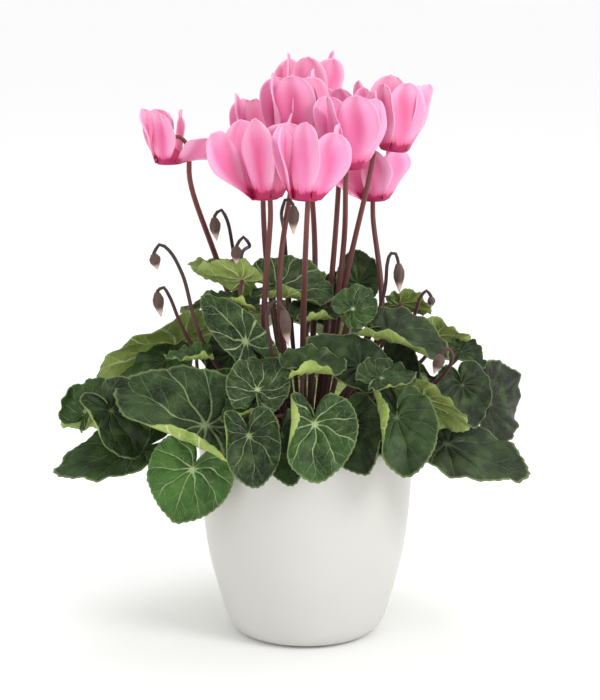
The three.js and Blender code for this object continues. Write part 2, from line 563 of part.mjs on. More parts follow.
// A petal's rows from inside the mouth over its lip to the tip: the middle of each, the ways across and out.
// Each petal stands a little higher than the one before it.
function petalRows(bloom, frame, number) {
  const angle = radians(FIRST_PETAL + number * PETAL_STEP);
  const spread = radians(bloom.spread[number]);
  const radial = mixed(frame.ahead, frame.side, angle);
  const tangent = frame.axis.clone().cross(radial);
  const up = mixed(frame.axis, radial, spread);
  const outward = tangent.clone().cross(up);
  const last = PETAL_WIDTHS.length - 1;
  return PETAL_WIDTHS.map((widthShare, row) => {
    const share = (row - 1) / (last - 1);
    const { radius, height } = row ? petalCentre(bloom, spread, share) : PETAL_ROOT;
    const twistShare = LIP_TWIST_SHARE + (1 - LIP_TWIST_SHARE) * Math.max(share, 0);
    const twist = radians(bloom.twist[number]) * twistShare;
    const across = mixed(tangent, outward, twist);
    const down = frame.axis.clone().negate();
    const facing = mixed(down, across.clone().cross(up), radians(PETAL_FACING[Math.min(row, 2)]));
    const tip = up.clone().multiplyScalar(row === last ? TIP_POINT : 0);
    const centre = aboutAxis(frame, radius, height + PETAL_STAGGER * number, angle);
    return { centre, across, facing, half: (bloom.width * widthShare) / 2, tip };
  });
}

// A petal: three points a row on each face, its edges bent back and its tip drawn out
function petalSolid(bloom, frame, number) {
  const rows = petalRows(bloom, frame, number);
  const face = (offset) => rows.flatMap(({ centre, across, facing, half, tip }) => [-1, 0, 1].map((place) => {
    const point = centre.clone().addScaledVector(across, place * half);
    point.addScaledVector(facing, offset - PETAL_CUP * half * Math.abs(place));
    return place ? point : point.add(tip);
  }));
  return sheetSolid(face(PETAL_THICKNESS / 2), face(-PETAL_THICKNESS / 2), 3);
}

// A closed sheet between two faces of points in rows of so many columns
function sheetSolid(outer, inner, columns) {
  const count = outer.length;
  const rows = count / columns;
  const triangles = [];
  for (let row = 0; row < rows - 1; row += 1) {
    for (let column = 0; column < columns - 1; column += 1) {
      const a = row * columns + column;
      const [b, c, d] = [a + 1, a + columns + 1, a + columns];
      triangles.push([a, b, c], [a, c, d]);
      triangles.push([a + count, c + count, b + count], [a + count, d + count, c + count]);
    }
  }
  const edge = (a, b) => triangles.push([a, a + count, b + count], [a, b + count, b]);
  for (let row = 0; row < rows - 1; row += 1) {
    edge((row + 1) * columns, row * columns);
    edge(row * columns + columns - 1, (row + 1) * columns + columns - 1);
  }
  for (let column = 0; column < columns - 1; column += 1) {
    edge(column, column + 1);
    edge(count - 1 - column, count - 2 - column);
  }
  return solidOf(bareGeometry([...outer, ...inner], triangles));
}

// The short closed tube that the petals spring from, its mouth a shallow hollow that looks down
function tubeSolid(frame) {
  const profile = TUBE_PROFILE.map(([radius, height]) => new THREE.Vector2(radius, height));
  const geometry = new THREE.LatheGeometry(profile, TUBE_SIDES);
  const turn = new THREE.Matrix4().makeBasis(frame.side, frame.axis, frame.ahead).setPosition(frame.mouth);
  return solidOf(geometry.applyMatrix4(turn));
}

function bloomSolid(bloom) {
  const frame = bloomFrame(bloom);
  const petals = Array.from({ length: PETALS }, (_, number) => petalSolid(bloom, frame, number));
  return joined([tubeSolid(frame), ...petals]);
}

// A flower stem: a shaft from the corm, and a thinner hook that goes up between two petals and over
function flowerStem(bloom) {
  const frame = bloomFrame(bloom);
  const [viaX, viaY] = bloom.via;
  const root = vec(viaX * STEM_ROOT_SHARE, viaY * STEM_ROOT_SHARE, cormTop(STEM_ROOT_RING) - ROOT_DEPTH);
  const [below, beside] = BESIDE_HEIGHTS.map((height) => aboutAxis(frame, BESIDE, height, 0));
  const over = HOOK.map(([radius, height]) => aboutAxis(frame, radius, height, 0));
  const end = aboutAxis(frame, 0, TUBE_TOP + SEAT_GAP, 0);
  const shaft = stalk([root, vec(...bloom.via), below, beside], STEM_RADIUS, STEM_SIDES, STEM_STEPS);
  const hookWay = [below.clone().lerp(beside, SPLICE), ...over, end];
  return shaft.add(stalk(hookWay, HOOK_RADIUS, HOOK_SIDES, STEM_STEPS));
}

// A bloom moved into depth, as little as keeps it and its stem clear of the blooms and stems before it
function settledBloom(bloom, blooms, stems) {
  for (const depth of DEPTHS) {
    const mouth = vec(...bloom.mouth).addScaledVector(DEEPER, depth).toArray();
    const solid = bloomSolid({ ...bloom, mouth });
    if (meetsAny(solid, blooms) || meetsAny(solid, stems)) continue;
    const stem = flowerStem({ ...bloom, mouth });
    if (!meetsAny(stem, [solid, ...blooms])) return { solid, stem };
  }
  throw new Error("no clear place for the bloom " + bloom.name);
}

// A bud: a pointed drop at the end of a thin hooked stalk
function budSolid({ points, size, lean }) {
  const way = points.map((point) => vec(...point));
  const [first] = way;
  const root = vec(first.x * BUD_ROOT_SHARE, first.y * BUD_ROOT_SHARE, cormTop(BUD_ROOT_RING) - ROOT_DEPTH);
  const neck = way[way.length - 1];
  const [before, bend] = way.slice(-4, -2);
  const shaft = stalk([root, first, ...way.slice(1, -2)], BUD_STALK_RADIUS, HOOK_SIDES, BUD_STALK_STEPS);
  const hookWay = [bend.clone().lerp(before, 1 - SPLICE), ...way.slice(-2)];
  const hook = stalk(hookWay, HOOK_RADIUS, HOOK_SIDES, STEM_STEPS);
  const radius = Math.min(BUD_RADIUS, size * BUD_SLIMNESS);
  const outline = BUD_PROFILE.map(([r, h]) => new THREE.Vector2(r * radius, h < 0 ? h : h * size));
  const down = vec(lean[0], lean[1], -1).normalize();
  const turn = new THREE.Quaternion().setFromUnitVectors(vec(0, 1, 0), down);
  const place = new THREE.Matrix4().makeRotationFromQuaternion(turn).setPosition(neck);
  const drop = solidOf(new THREE.LatheGeometry(outline, BUD_SIDES).applyMatrix4(place));
  return joined([shaft, hook, drop]);
}

// The whole plant
const corm = cormSolid();
const pot = potSolid();
const soil = soilSolid(corm);
const blooms = [];
const stems = [];
for (const bloom of BLOOMS) {
  const { solid, stem } = settledBloom(bloom, blooms, stems);
  blooms.push(solid);
  stems.push(stem);
}

const firm = [pot, soil, ...blooms];
const stalks = [...stems, ...BUDS.map(budSolid)];
const singles = (rows, first) => rows.map((row, k) => [formed(row, first + k)]);
const groups = [
  ...singles(FRONT_LEAVES, 0),
  ...FANS.map(fanLeaves),
  ...singles(FILLING_LEAVES, FRONT_LEAVES.length),
];
const blades = groups.map((group) => {
  const { blades: solid, petioles } = settled(group, firm, stalks);
  firm.push(solid);
  stalks.push(...petioles);
  return solid;
});

const plant = new THREE.Group();
plant.add(meshOf("pot", pot, MATERIALS.pot));
plant.add(meshOf("soil", soil, MATERIALS.soil));
plant.add(meshOf("crown", joined([corm, ...stalks]), MATERIALS.crown));
blooms.forEach((solid, k) => plant.add(meshOf("bloom_" + BLOOMS[k].name, solid, MATERIALS.petal)));
blades.forEach((solid, k) => plant.add(meshOf("leaf_" + groups[k][0].name, solid, MATERIALS.leaf)));

export default plant;
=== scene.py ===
# %% [markdown]
# # A potted cyclamen
#
# A florist's cyclamen grows from a flat corm at the top of its pot. Every leaf and every bloom has a stalk
# of its own. The blades are heart-shaped, dark green with a pale net of veins above and yellow-green below,
# and many roll their margins up. The blooms nod, but their five petals sweep straight back up.
#
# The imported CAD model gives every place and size. Each of its plain solids but the soil is replaced here by
# a finer piece that keeps its form, and the materials are procedural.

# %% Load the frame
import math
import bpy
import numpy as np
from mathutils import Matrix, Vector
from mathutils.kdtree import KDTree


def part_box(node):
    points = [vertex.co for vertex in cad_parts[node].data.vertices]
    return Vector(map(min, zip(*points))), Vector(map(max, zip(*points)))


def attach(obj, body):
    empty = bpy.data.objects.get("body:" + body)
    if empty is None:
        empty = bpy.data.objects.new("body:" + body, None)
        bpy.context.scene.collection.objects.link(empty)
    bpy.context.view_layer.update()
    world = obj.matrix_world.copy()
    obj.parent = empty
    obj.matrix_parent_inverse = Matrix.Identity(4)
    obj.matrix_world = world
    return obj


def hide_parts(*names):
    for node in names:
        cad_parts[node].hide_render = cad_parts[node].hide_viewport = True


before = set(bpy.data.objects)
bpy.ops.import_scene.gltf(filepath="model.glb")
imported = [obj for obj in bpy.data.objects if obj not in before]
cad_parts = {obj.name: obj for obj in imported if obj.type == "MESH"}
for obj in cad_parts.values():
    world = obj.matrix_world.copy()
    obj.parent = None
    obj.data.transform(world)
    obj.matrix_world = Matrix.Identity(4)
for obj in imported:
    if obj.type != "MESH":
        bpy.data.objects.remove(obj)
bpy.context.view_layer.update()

MM = 0.001


# %% [markdown]
# ## Helpers
#
# Operators act on whatever is selected, so each step first selects one object and makes it the active one.
# A primitive is added alone in the selection, and its place is moved into its mesh.

# %% Select, add, edit, copy and join
def only(piece):
    """Selects this piece alone and makes it active."""
    bpy.ops.object.select_all(action="DESELECT")
    piece.select_set(True)
    bpy.context.view_layer.objects.active = piece


def fresh(add, **settings):
    """The object that a primitive operator makes, unturned and at the origin."""
    bpy.ops.object.select_all(action="DESELECT")
    add(**settings)
    bpy.ops.object.transform_apply(location=True, rotation=True, scale=True)
    return bpy.context.object


def edit(piece, select_mode="VERT", action="SELECT"):
    """Opens edit mode with everything selected, or nothing."""
    only(piece)
    bpy.ops.object.mode_set(mode="EDIT")
    bpy.ops.mesh.select_mode(type=select_mode)
    bpy.ops.mesh.select_all(action=action)


def face_outwards(piece):
    edit(piece)
    bpy.ops.mesh.normals_make_consistent(inside=False)
    bpy.ops.object.mode_set(mode="OBJECT")


def wall(piece, thickness, **settings):
    """Gives a sheet its thickness, half of it on each side."""
    only(piece)
    modifier = piece.modifiers.new("Wall", "SOLIDIFY")
    modifier.thickness = thickness * MM
    modifier.offset = 0
    for name, value in settings.items():
        setattr(modifier, name, value)
    bpy.ops.object.modifier_apply(modifier=modifier.name)


def linked(name, data):
    thing = bpy.data.objects.new(name, data)
    bpy.context.scene.collection.objects.link(thing)
    return thing


def copy_of(blank, name):
    return linked(name, blank.data.copy())


def join(pieces, name):
    only(pieces[0])
    for piece in pieces[1:]:
        piece.select_set(True)
    if len(pieces) > 1:
        bpy.ops.object.join()
    pieces[0].name = name
    return pieces[0]


# %% [markdown]
# Organic shapes follow formulas here, so a blank's vertices are read and set all at once, in millimetres. A
# finished piece rides on the one body of this plant, and may replace a CAD node.

# %% Points, maps and finished pieces
def points_of(piece):
    flat = np.empty(len(piece.data.vertices) * 3)
    piece.data.vertices.foreach_get("co", flat)
    return flat.reshape(-1, 3)


def set_points(piece, points_mm):
    piece.data.vertices.foreach_set("co", (points_mm * MM).ravel())
    piece.data.update()


def point_values(piece, name, values):
    """Keeps one number a vertex, which a material can read by its name."""
    layer = piece.data.attributes.new(name, "FLOAT", "POINT")
    layer.data.foreach_set("value", np.broadcast_to(values, len(piece.data.vertices)).astype(np.float32))


def set_uv(piece, across, along):
    """A flat map of the piece: one pair of numbers a vertex, given to each of its face corners."""
    corners = np.empty(len(piece.data.loops), int)
    piece.data.loops.foreach_get("vertex_index", corners)
    layer = piece.data.uv_layers.active or piece.data.uv_layers.new(name="flat")
    layer.data.foreach_set("uv", np.stack([across[corners], along[corners]], 1).ravel())


def finish(piece, material=None, replaced=None):
    """Gives a piece its material, its body, and the CAD node that it replaces."""
    if material:
        piece.data.materials.append(MATERIALS[material])
    only(piece)
    bpy.ops.object.shade_smooth()
    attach(piece, "root")
    if replaced:
        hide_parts(replaced)
    return piece


def unit(vector):
    return vector / np.linalg.norm(vector)


def line(amounts, direction):
    """One vector for each amount: that much of the direction."""
    return np.multiply.outer(amounts, direction)


# %% [markdown]
# ## Materials
#
# Each material is a Principled shader with a few procedural nodes. A node's output is wrapped as a `Value`,
# so that a pattern can be written as a formula: every sum, difference, product or quotient adds a node.

# %% A short way to wire nodes
def rgb(hex_code):
    """A colour as it is seen, in the linear numbers that a shader takes."""
    values = [int(hex_code[k:k + 2], 16) / 255 for k in (0, 2, 4)]
    return (*[v / 12.92 if v <= 0.04045 else ((v + 0.055) / 1.055) ** 2.4 for v in values], 1)


class Value:
    """The output of a node, on which plain arithmetic works."""

    def __init__(self, paint, socket):
        self.paint = paint
        self.socket = socket

    def __add__(self, other):
        return self.paint.math("ADD", self, other)

    def __sub__(self, other):
        return self.paint.math("SUBTRACT", self, other)

    def __rsub__(self, other):
        return self.paint.math("SUBTRACT", other, self)

    def __mul__(self, other):
        return self.paint.math("MULTIPLY", self, other)

    def __truediv__(self, other):
        return self.paint.math("DIVIDE", self, other)

    __radd__ = __add__
    __rmul__ = __mul__


class Paint:
    """A material under way. A socket takes a Value, a number or a colour's hex code."""

    def __init__(self, name, roughness, **named):
        self.material = bpy.data.materials.new(name)
        self.material.use_nodes = True
        self.nodes = self.material.node_tree.nodes
        self.shader = self.nodes["Principled BSDF"]
        self.feed(self.shader, Roughness=roughness, **named)

    def set(self, socket, value):
        if isinstance(value, Value):
            self.material.node_tree.links.new(value.socket, socket)
        else:
            socket.default_value = rgb(value) if isinstance(value, str) else value

    def feed(self, node, *values, **named):
        for socket, value in zip(node.inputs, values):
            self.set(socket, value)
        for name, value in named.items():
            self.set(node.inputs[name.replace("_", " ")], value)

    def node(self, kind, out, *values, options=None, **named):
        made = self.nodes.new("ShaderNode" + kind)
        for name, value in (options or {}).items():
            setattr(made, name, value)
        self.feed(made, *values, **named)
        return Value(self, made.outputs[out])

    def math(self, operation, *values):
        return self.node("Math", 0, *values, options={"operation": operation})

    def mix(self, share, a, b):
        made = self.nodes.new("ShaderNodeMix")
        made.data_type = "RGBA"
        for place, value in ((0, share), (6, a), (7, b)):
            self.set(made.inputs[place], value)
        return Value(self, made.outputs[2])

    def layered(self, colour, *layers):
        """Lays one colour after another over the first, each where its mask is 1."""
        for mask, over in layers:
            colour = self.mix(mask, colour, over)
        return colour

    def between(self, value, low, high):
        """0 below low, 1 above high and smooth between; the other way round when low is above high."""
        made = self.nodes.new("ShaderNodeMapRange")
        made.interpolation_type = "SMOOTHSTEP"
        self.feed(made, value, low, high)
        return Value(self, made.outputs["Result"])

    def noise(self, vector, scale, detail=3.0, out="Fac"):
        return self.node("TexNoise", out, Vector=vector, Scale=scale, Detail=detail)

    def flat_map(self):
        return self.node("UVMap", "UV")

    def place(self):
        return self.node("TexCoord", "Object")

    def value(self, name):
        return self.node("Attribute", "Fac", options={"attribute_name": name})

    def split(self, vector):
        outputs = self.node("SeparateXYZ", 0, vector).socket.node.outputs
        return [Value(self, socket) for socket in outputs]

    def vector(self, x, y):
        return self.node("CombineXYZ", 0, x, y)

    def moved(self, vector, amount, scale):
        """The vector, shaken a little by noise."""
        wander = self.noise(vector, scale, 2.0, out="Color")
        centred = self.node("VectorMath", 0, wander, (0.5,) * 3, options={"operation": "SUBTRACT"})
        options = {"operation": "MULTIPLY_ADD"}
        return self.node("VectorMath", 0, centred, (amount,) * 3, vector, options=options)

    def done(self, colour, height=None, depth_mm=0.2, strength=0.6, **named):
        if height:
            named["Normal"] = self.node("Bump", 0, Height=height, Strength=strength, Distance=depth_mm * MM)
        self.feed(self.shader, Base_Color=colour, **named)
        return self.material


# %% [markdown]
# ### Leaf finishes
#
# The flat map of a blade has its stalk at the middle and its tip at u = 1. The main veins spread from the
# stalk and fork towards the margin, and a wrapped angle gives the distance to the nearest one. Side veins
# leave them by turns to the left and right, and the cells of a Voronoi texture are the finest net.

# %% Vein pattern shared by the upper and lower face
VEIN_ANGLE = math.radians(42)
VEIN_BEND = 0.45
VEIN_WIDTH = 0.021
VEIN_NARROWING = 0.013
SIDE_STEP = 0.21
SIDE_LEAN = 1.15
NET_SCALE = 12.0


def veins(paint):
    """Masks that are 1 on a main vein, a side vein and the fine net, and the distance from the stalk."""
    flat = paint.moved(paint.flat_map(), 0.045, 7.0)
    u, v, _ = paint.split(flat)
    reach = paint.math("SQRT", u * u + v * v)
    bent = paint.math("ARCTAN2", v, u) * (reach * VEIN_BEND + 1.0)
    signed = paint.math("WRAP", bent, VEIN_ANGLE / 2, -VEIN_ANGLE / 2)
    folded = paint.math("ABSOLUTE", signed)
    beside = folded * reach
    width = (VEIN_WIDTH - reach * VEIN_NARROWING) * (paint.value("veined") * 0.7 + 0.7)
    main = paint.between(beside / width, 1.0, 0.4) * paint.between(reach, 0.98, 0.4)
    stagger = paint.math("GREATER_THAN", signed, 0.0) * (SIDE_STEP / 2)
    rung = paint.math("PINGPONG", reach + stagger - beside * SIDE_LEAN, SIDE_STEP / 2)
    side = paint.between(rung, 0.013, 0.003) * paint.between(reach, 0.16, 0.3)
    side = side * paint.between(folded, VEIN_ANGLE / 2, VEIN_ANGLE / 6)
    edges = {"feature": "DISTANCE_TO_EDGE"}
    cells = paint.node("TexVoronoi", "Distance", options=edges, Vector=flat, Scale=NET_SCALE)
    return main, side, paint.between(cells, 0.07, 0.01), reach


# %% [markdown]
# The upper face is dark and a little glossy, with sunken veins; the lower face is lime, matt and raised over
# its veins. Each blade keeps its own numbers: how bright (partly painted light and shade), how veined and how
# aged it is.

# %% Upper and lower face of a blade
def upper_face():
    paint = Paint("leaf_upper_green", 0.42, Specular_IOR_Level=0.2, Coat_Weight=0.03, Coat_Roughness=0.3)
    main, side, net, reach = veins(paint)
    spot = paint.place()
    patch = paint.between(paint.noise(spot, 55.0), 0.3, 0.7)
    fine = paint.noise(spot, 420.0)
    band = paint.between(reach, 0.2, 0.42) * paint.between(reach, 0.9, 0.6)
    marbled = band * paint.between(paint.noise(paint.flat_map(), 3.6), 0.42, 0.66)
    strength = paint.value("veined") * 0.94 + 0.06
    rim = paint.between(paint.value("share"), 0.95, 0.99)
    green = paint.layered(
        paint.mix(patch, "10180a", "263618"),
        # How bright a blade is: partly its own colour, partly painted light and shade.
        (paint.value("tone"), paint.mix(patch, "31521e", "4f7c30")),
        (paint.value("aged"), "241f1d"),
        (marbled * 0.26, "66824c"),
        (net * strength * 0.2, "85a473"),
        (side * strength * 0.55, "93b276"),
        (main * strength * 0.9, "bccf98"),
        (rim * 0.5, "8fa068"),
        (fine * 0.2, "142219"),
    )
    height = fine * 0.25 - (main * 1.2 + side * 0.9 + net * 0.5)
    return paint.done(green, height, depth_mm=0.45, strength=0.7, Roughness=patch * 0.14 + 0.38)


def lower_face():
    paint = Paint("leaf_lower_lime", 0.58, Specular_IOR_Level=0.25)
    main, side, net, reach = veins(paint)
    patch = paint.between(paint.noise(paint.place(), 60.0), 0.3, 0.7)
    lime = paint.layered(
        paint.mix(patch, "71893a", "9fb35c"),
        (paint.value("aged") * 0.6, "5d5a3a"),
        (net * 0.22, "c7d790"),
        (side * 0.5, "d0dca0"),
        (main * 0.7, "d8d8a4"),
        (paint.between(reach, 0.5, 1.0) * 0.25, "cfdc9a"),
    )
    return paint.done(lime, main * 1.4 + side * 0.9 + net * 0.4, depth_mm=0.4, strength=0.7)


# %% [markdown]
# ### Petal finish
#
# The flat map of a petal has u across it and v from the mouth to the tip. The colour goes from magenta at
# the mouth over a deeper stripe along the middle to a pale margin, with fine lengthwise veins. Each petal
# keeps its own numbers for how deep the stripe is and how cool the pink.

# %% Petals
def petal_pink():
    paint = Paint("petal_pink", 0.5, Subsurface_Weight=0.12, Subsurface_Scale=0.003, Specular_IOR_Level=0.3,
                  Subsurface_Radius=(1.0, 0.4, 0.5))
    flat = paint.flat_map()
    u, v, _ = paint.split(flat)
    beside = paint.math("ABSOLUTE", u)
    shaken = (paint.noise(flat, 5.0) - 0.5) * 0.16
    fan = u * (1.35 - v * 0.35)
    lines = paint.noise(paint.vector(fan * 13.0, v * 1.3), 2.2)
    stripe = paint.between(beside, 0.5, 0.0) * paint.between(v, 1.0, 0.6)
    mouth = v + shaken - beside * 0.06
    pink = paint.layered(
        paint.mix(paint.between(beside, 0.25, 1.0), "f08cb6", "f6b9d6"),
        (stripe * paint.value("deep"), "de2f74"),
        (paint.between(lines, 0.45, 0.72) * 0.3, "ec6a9e"),
        (paint.between(v, 0.75, 1.0) * 0.35, "fccbe0"),
        (paint.value("cool") * 0.3, "dd93c6"),
        (paint.between(mouth, 0.24, 0.02), "d92f78"),
        (paint.between(mouth, 0.12, 0.06), "a20549"),
        (paint.noise(paint.place(), 60.0) * 0.2, "ee78a8"),
    )
    return paint.done(pink, lines, depth_mm=0.25, strength=0.35)


# %% [markdown]
# ### Stalks, buds, corm, potting mix and pot
#
# Stalks are red-brown below and lighter or darker above, buds grey-brown with a pale tip, the corm corky,
# the potting mix dark and crumbly, and the pot a plain white glaze with a very slight unevenness.

# %% Stalks and buds
def stalk_brown(name, low, high, bottom, top):
    """From the colour `low` at the height `bottom` to `high` at the height `top`, in millimetres."""
    paint = Paint(name, 0.55, Sheen_Weight=0.15)
    spot = paint.place()
    height = paint.split(spot)[2]
    streaks = paint.noise(paint.node("Mapping", 0, Vector=spot, Scale=(1.0, 1.0, 0.08)), 700.0)
    colour = paint.mix(paint.between(height, bottom * MM, top * MM), low, high)
    colour = paint.mix(streaks * 0.4, colour, "3f1f20")
    return paint.done(colour, paint.noise(spot, 2600.0), depth_mm=0.12, strength=0.4)


def bud_brown():
    paint = Paint("bud_brown", 0.6, Sheen_Weight=0.2)
    u, v, _ = paint.split(paint.flat_map())
    folds = paint.noise(paint.vector(u * 9.0, v), 3.0)
    # The folds' noise gives both colour and height: darker in their hollows is partly painted shade and
    # partly the bud's own streaks.
    colour = paint.layered(
        paint.mix(folds, "2b1d19", "6e5142"),
        (paint.between(v + folds * 0.2, 0.68, 0.95), "efd0c4"),
        (paint.noise(paint.place(), 900.0) * 0.25, "3b2a28"),
    )
    return paint.done(colour, folds, depth_mm=0.3, strength=0.6)


# %% Corm, potting mix and pot
def rough_brown(name, roughness, scale, detail, low, high, depth_mm, strength):
    """Lumps of one noise pattern, whose colour follows their height: painted shade in the hollows and painted
    light on top, over the material's own uneven colour.
    """
    paint = Paint(name, roughness)
    lumps = paint.noise(paint.place(), scale, detail)
    # Colour and height share the lumps: darker hollows are painted shade, lighter tops painted light.
    return paint.done(paint.mix(lumps, low, high), lumps, depth_mm=depth_mm, strength=strength)


def pot_glaze():
    paint = Paint("white_glaze", 0.34, Coat_Weight=0.15, Coat_Roughness=0.25)
    spot = paint.place()
    cloudy = paint.noise(spot, 16.0)
    colour = paint.mix(cloudy, "c8c6c1", "cfcdc9")
    height = cloudy + paint.noise(spot, 900.0) * 0.05
    return paint.done(colour, height, depth_mm=0.25, strength=0.25, Roughness=cloudy * 0.12 + 0.3)


MATERIALS = {
    "upper": upper_face(),
    "lower": lower_face(),
    "petal": petal_pink(),
    "stem": stalk_brown("stem_red_brown", "4c1a15", "7c3a31", 190, 320),
    "petiole": stalk_brown("petiole_red_brown", "4f1f18", "66382a", 120, 230),
    "hook": stalk_brown("bud_stalk_brown", "4a211b", "2e1c19", 200, 250),
    "bud": bud_brown(),
    "corm": rough_brown("corm_cork", 0.9, 220.0, 6.0, "3a2a20", "7a5f48", 1.2, 0.9),
    "soil": rough_brown("potting_mix", 0.95, 260.0, 8.0, "1c130d", "4a3626", 1.6, 1.0),
    "pot": pot_glaze(),
}
print("Materials:", sorted(MATERIALS))


# %% [markdown]
# ## Pot
#
# A slip-cast pot is a body of revolution with a thin wall. Its half section is drawn as a chain of edges and
# spun once round the axis, as on a potter's wheel. The sizes are those of the CAD pot.

# %% Spin a half section
def spun(name, section_mm, steps):
    """A chain of (radius, height) points turned about the Z axis."""
    piece = fresh(bpy.ops.mesh.primitive_plane_add, size=MM)
    piece.name = name
    edit(piece)
    bpy.ops.mesh.merge(type="CENTER")
    bpy.ops.transform.translate(value=Vector((section_mm[0][0], 0, section_mm[0][1])) * MM)
    for (radius, height), (radius_next, height_next) in zip(section_mm, section_mm[1:]):
        step = Vector((radius_next - radius, 0, height_next - height)) * MM
        bpy.ops.mesh.extrude_region_move(TRANSFORM_OT_translate={"value": step})
    bpy.ops.mesh.select_all(action="SELECT")
    bpy.ops.mesh.spin(steps=steps, angle=2 * math.pi, center=(0, 0, 0), axis=(0, 0, 1))
    bpy.ops.mesh.select_all(action="SELECT")
    bpy.ops.mesh.remove_doubles(threshold=0.01 * MM)
    bpy.ops.object.mode_set(mode="OBJECT")
    face_outwards(piece)
    return piece


# %% [markdown]
# The wall swells softly, so its outline is a smooth curve through a few points. The same curve is used for
# stalks. Its centripetal form makes no loops where points lie close together.

# %% A smooth chain of points
CURVE_STEPS = 32


def smooth_chain(points, steps):
    """Points on a centripetal Catmull-Rom curve through the given ones, evenly spaced along it."""
    points = np.array(points, float)
    ends = np.vstack([2 * points[0] - points[1], points, 2 * points[-1] - points[-2]])
    spans = [max(length, 1e-9) ** 0.5 for length in np.linalg.norm(np.diff(ends, axis=0), axis=1)]
    t = np.linspace(0, 1, CURVE_STEPS + 1)[:-1, None]
    pieces = []
    for k in range(len(points) - 1):
        before, here, there, after = ends[k:k + 4]
        first, span, last = spans[k:k + 3]
        leave = (here - before) / first - (there - before) / (first + span) + (there - here) / span
        arrive = (there - here) / span - (after - here) / (span + last) + (after - there) / last
        leave, arrive = leave * span, arrive * span
        cubic = 2 * here - 2 * there + leave + arrive
        square = -3 * here + 3 * there - 2 * leave - arrive
        pieces.append(cubic * t ** 3 + square * t ** 2 + leave * t + here)
    dense = np.vstack([*pieces, points[-1:]])
    run = np.concatenate([[0], np.cumsum(np.linalg.norm(np.diff(dense, axis=0), axis=1))])
    even = np.linspace(0, run[-1], steps + 1)
    return np.stack([np.interp(even, run, dense[:, k]) for k in range(points.shape[1])], 1)


# %% The pot's section, in millimetres
RIM_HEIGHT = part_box("pot")[1].z / MM
WALL = 4
FLOOR = 5
FLOOR_RADIUS = 44
FLOOR_FILLET = 1.5
FOOT_RADIUS = 41
POT_OUTSIDE = [(47.4, 2), (51.5, 8), (57.5, 28), (63.7, 53), (67.6, 84), (70, 128.8)]
WALL_STEPS = 24
LIP_STEPS = 6
LIP_HEIGHT = 1.2
INSIDE_FROM = 4
POT_SIDES = 128


def pot_section():
    outside = smooth_chain(POT_OUTSIDE, WALL_STEPS)
    middle = outside[-1][0] - WALL / 2
    turns = [math.pi * k / LIP_STEPS for k in range(1, LIP_STEPS)]
    lip = [(middle + WALL / 2 * math.cos(turn), RIM_HEIGHT - LIP_HEIGHT * (1 - math.sin(turn)))
           for turn in turns]
    inside = [(radius - WALL, height) for radius, height in outside[:INSIDE_FROM - 1:-1]]
    floor = [(FLOOR_RADIUS, FLOOR + FLOOR_FILLET), (0, FLOOR)]
    return [(0, 0), (FOOT_RADIUS, 0), *map(tuple, outside), *lip, *inside, *floor]


pot = finish(spun("pot_glazed", pot_section(), POT_SIDES), "pot", "pot")
print("Pot faces:", len(pot.data.polygons))


# %% [markdown]
# ## Potting mix
#
# The mix fills the pot to a finger's breadth below the rim and is loose crumbs at the top. The CAD solid
# stays, with a crumbly finish, and a few hundred small crumbs lie on it. One crumb is modelled and copied.

# %% Crumbs
CRUMBS = 420
CRUMB_SIZES = (0.8, 2.3)
CRUMB_ROUGHNESS = 0.35
CRUMB_FLATNESS = 0.6
CRUMB_SINK = 0.2
EDGE_SHARE = 0.94
INNER_AREA_SHARE = 0.16
rng = np.random.default_rng(11)


def crumb_blank():
    blank = fresh(bpy.ops.mesh.primitive_ico_sphere_add, subdivisions=1, radius=MM)
    edit(blank)
    bpy.ops.transform.vertex_random(offset=CRUMB_ROUGHNESS * MM, seed=3)
    bpy.ops.object.mode_set(mode="OBJECT")
    return blank


def crumb_points(shape, high):
    """The blank's points, at a drawn place on the mix, with a drawn size and turn."""
    radius = EDGE_SHARE * high.x * math.sqrt(rng.uniform(INNER_AREA_SHARE, 1))
    azimuth = rng.uniform(0, 2 * math.pi)
    size = rng.uniform(*CRUMB_SIZES)
    turn = np.array(Matrix.Rotation(rng.uniform(0, 6), 3, Vector(rng.uniform(-1, 1, 3)).normalized()))
    centre = [radius * math.cos(azimuth), radius * math.sin(azimuth), high.z - CRUMB_SINK * size * MM]
    return (shape * size) @ turn.T * [1, 1, CRUMB_FLATNESS] + centre


def scatter_crumbs():
    blank = crumb_blank()
    shape = points_of(blank)
    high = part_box("soil")[1]
    crumbs = [copy_of(blank, "crumb") for _ in range(CRUMBS)]
    for crumb in crumbs:
        set_points(crumb, crumb_points(shape, high) / MM)
    bpy.data.objects.remove(blank)
    return join(crumbs, "soil_crumbs")


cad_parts["soil"].data.materials.clear()
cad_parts["soil"].data.materials.append(MATERIALS["soil"])
crumbs = finish(scatter_crumbs(), "soil")
print("Crumb faces:", len(crumbs.data.polygons))


# %% [markdown]
# ## Leaf blades
#
# Each row says where a blade's stalk meets it, where its tip points, which way its upper face looks, and its
# form in degrees: fold lifts both halves, cup bends them, left and right roll a margin up, droop bends the
# tip down. The CAD blades have the same rows, so each fine blade lies in its coarse one.

# %% The leaves, in millimetres and degrees
def leaf_at(name, navel, tip, face, **form):
    return dict(name=name, navel=navel, tip=tip, face=face, **form)


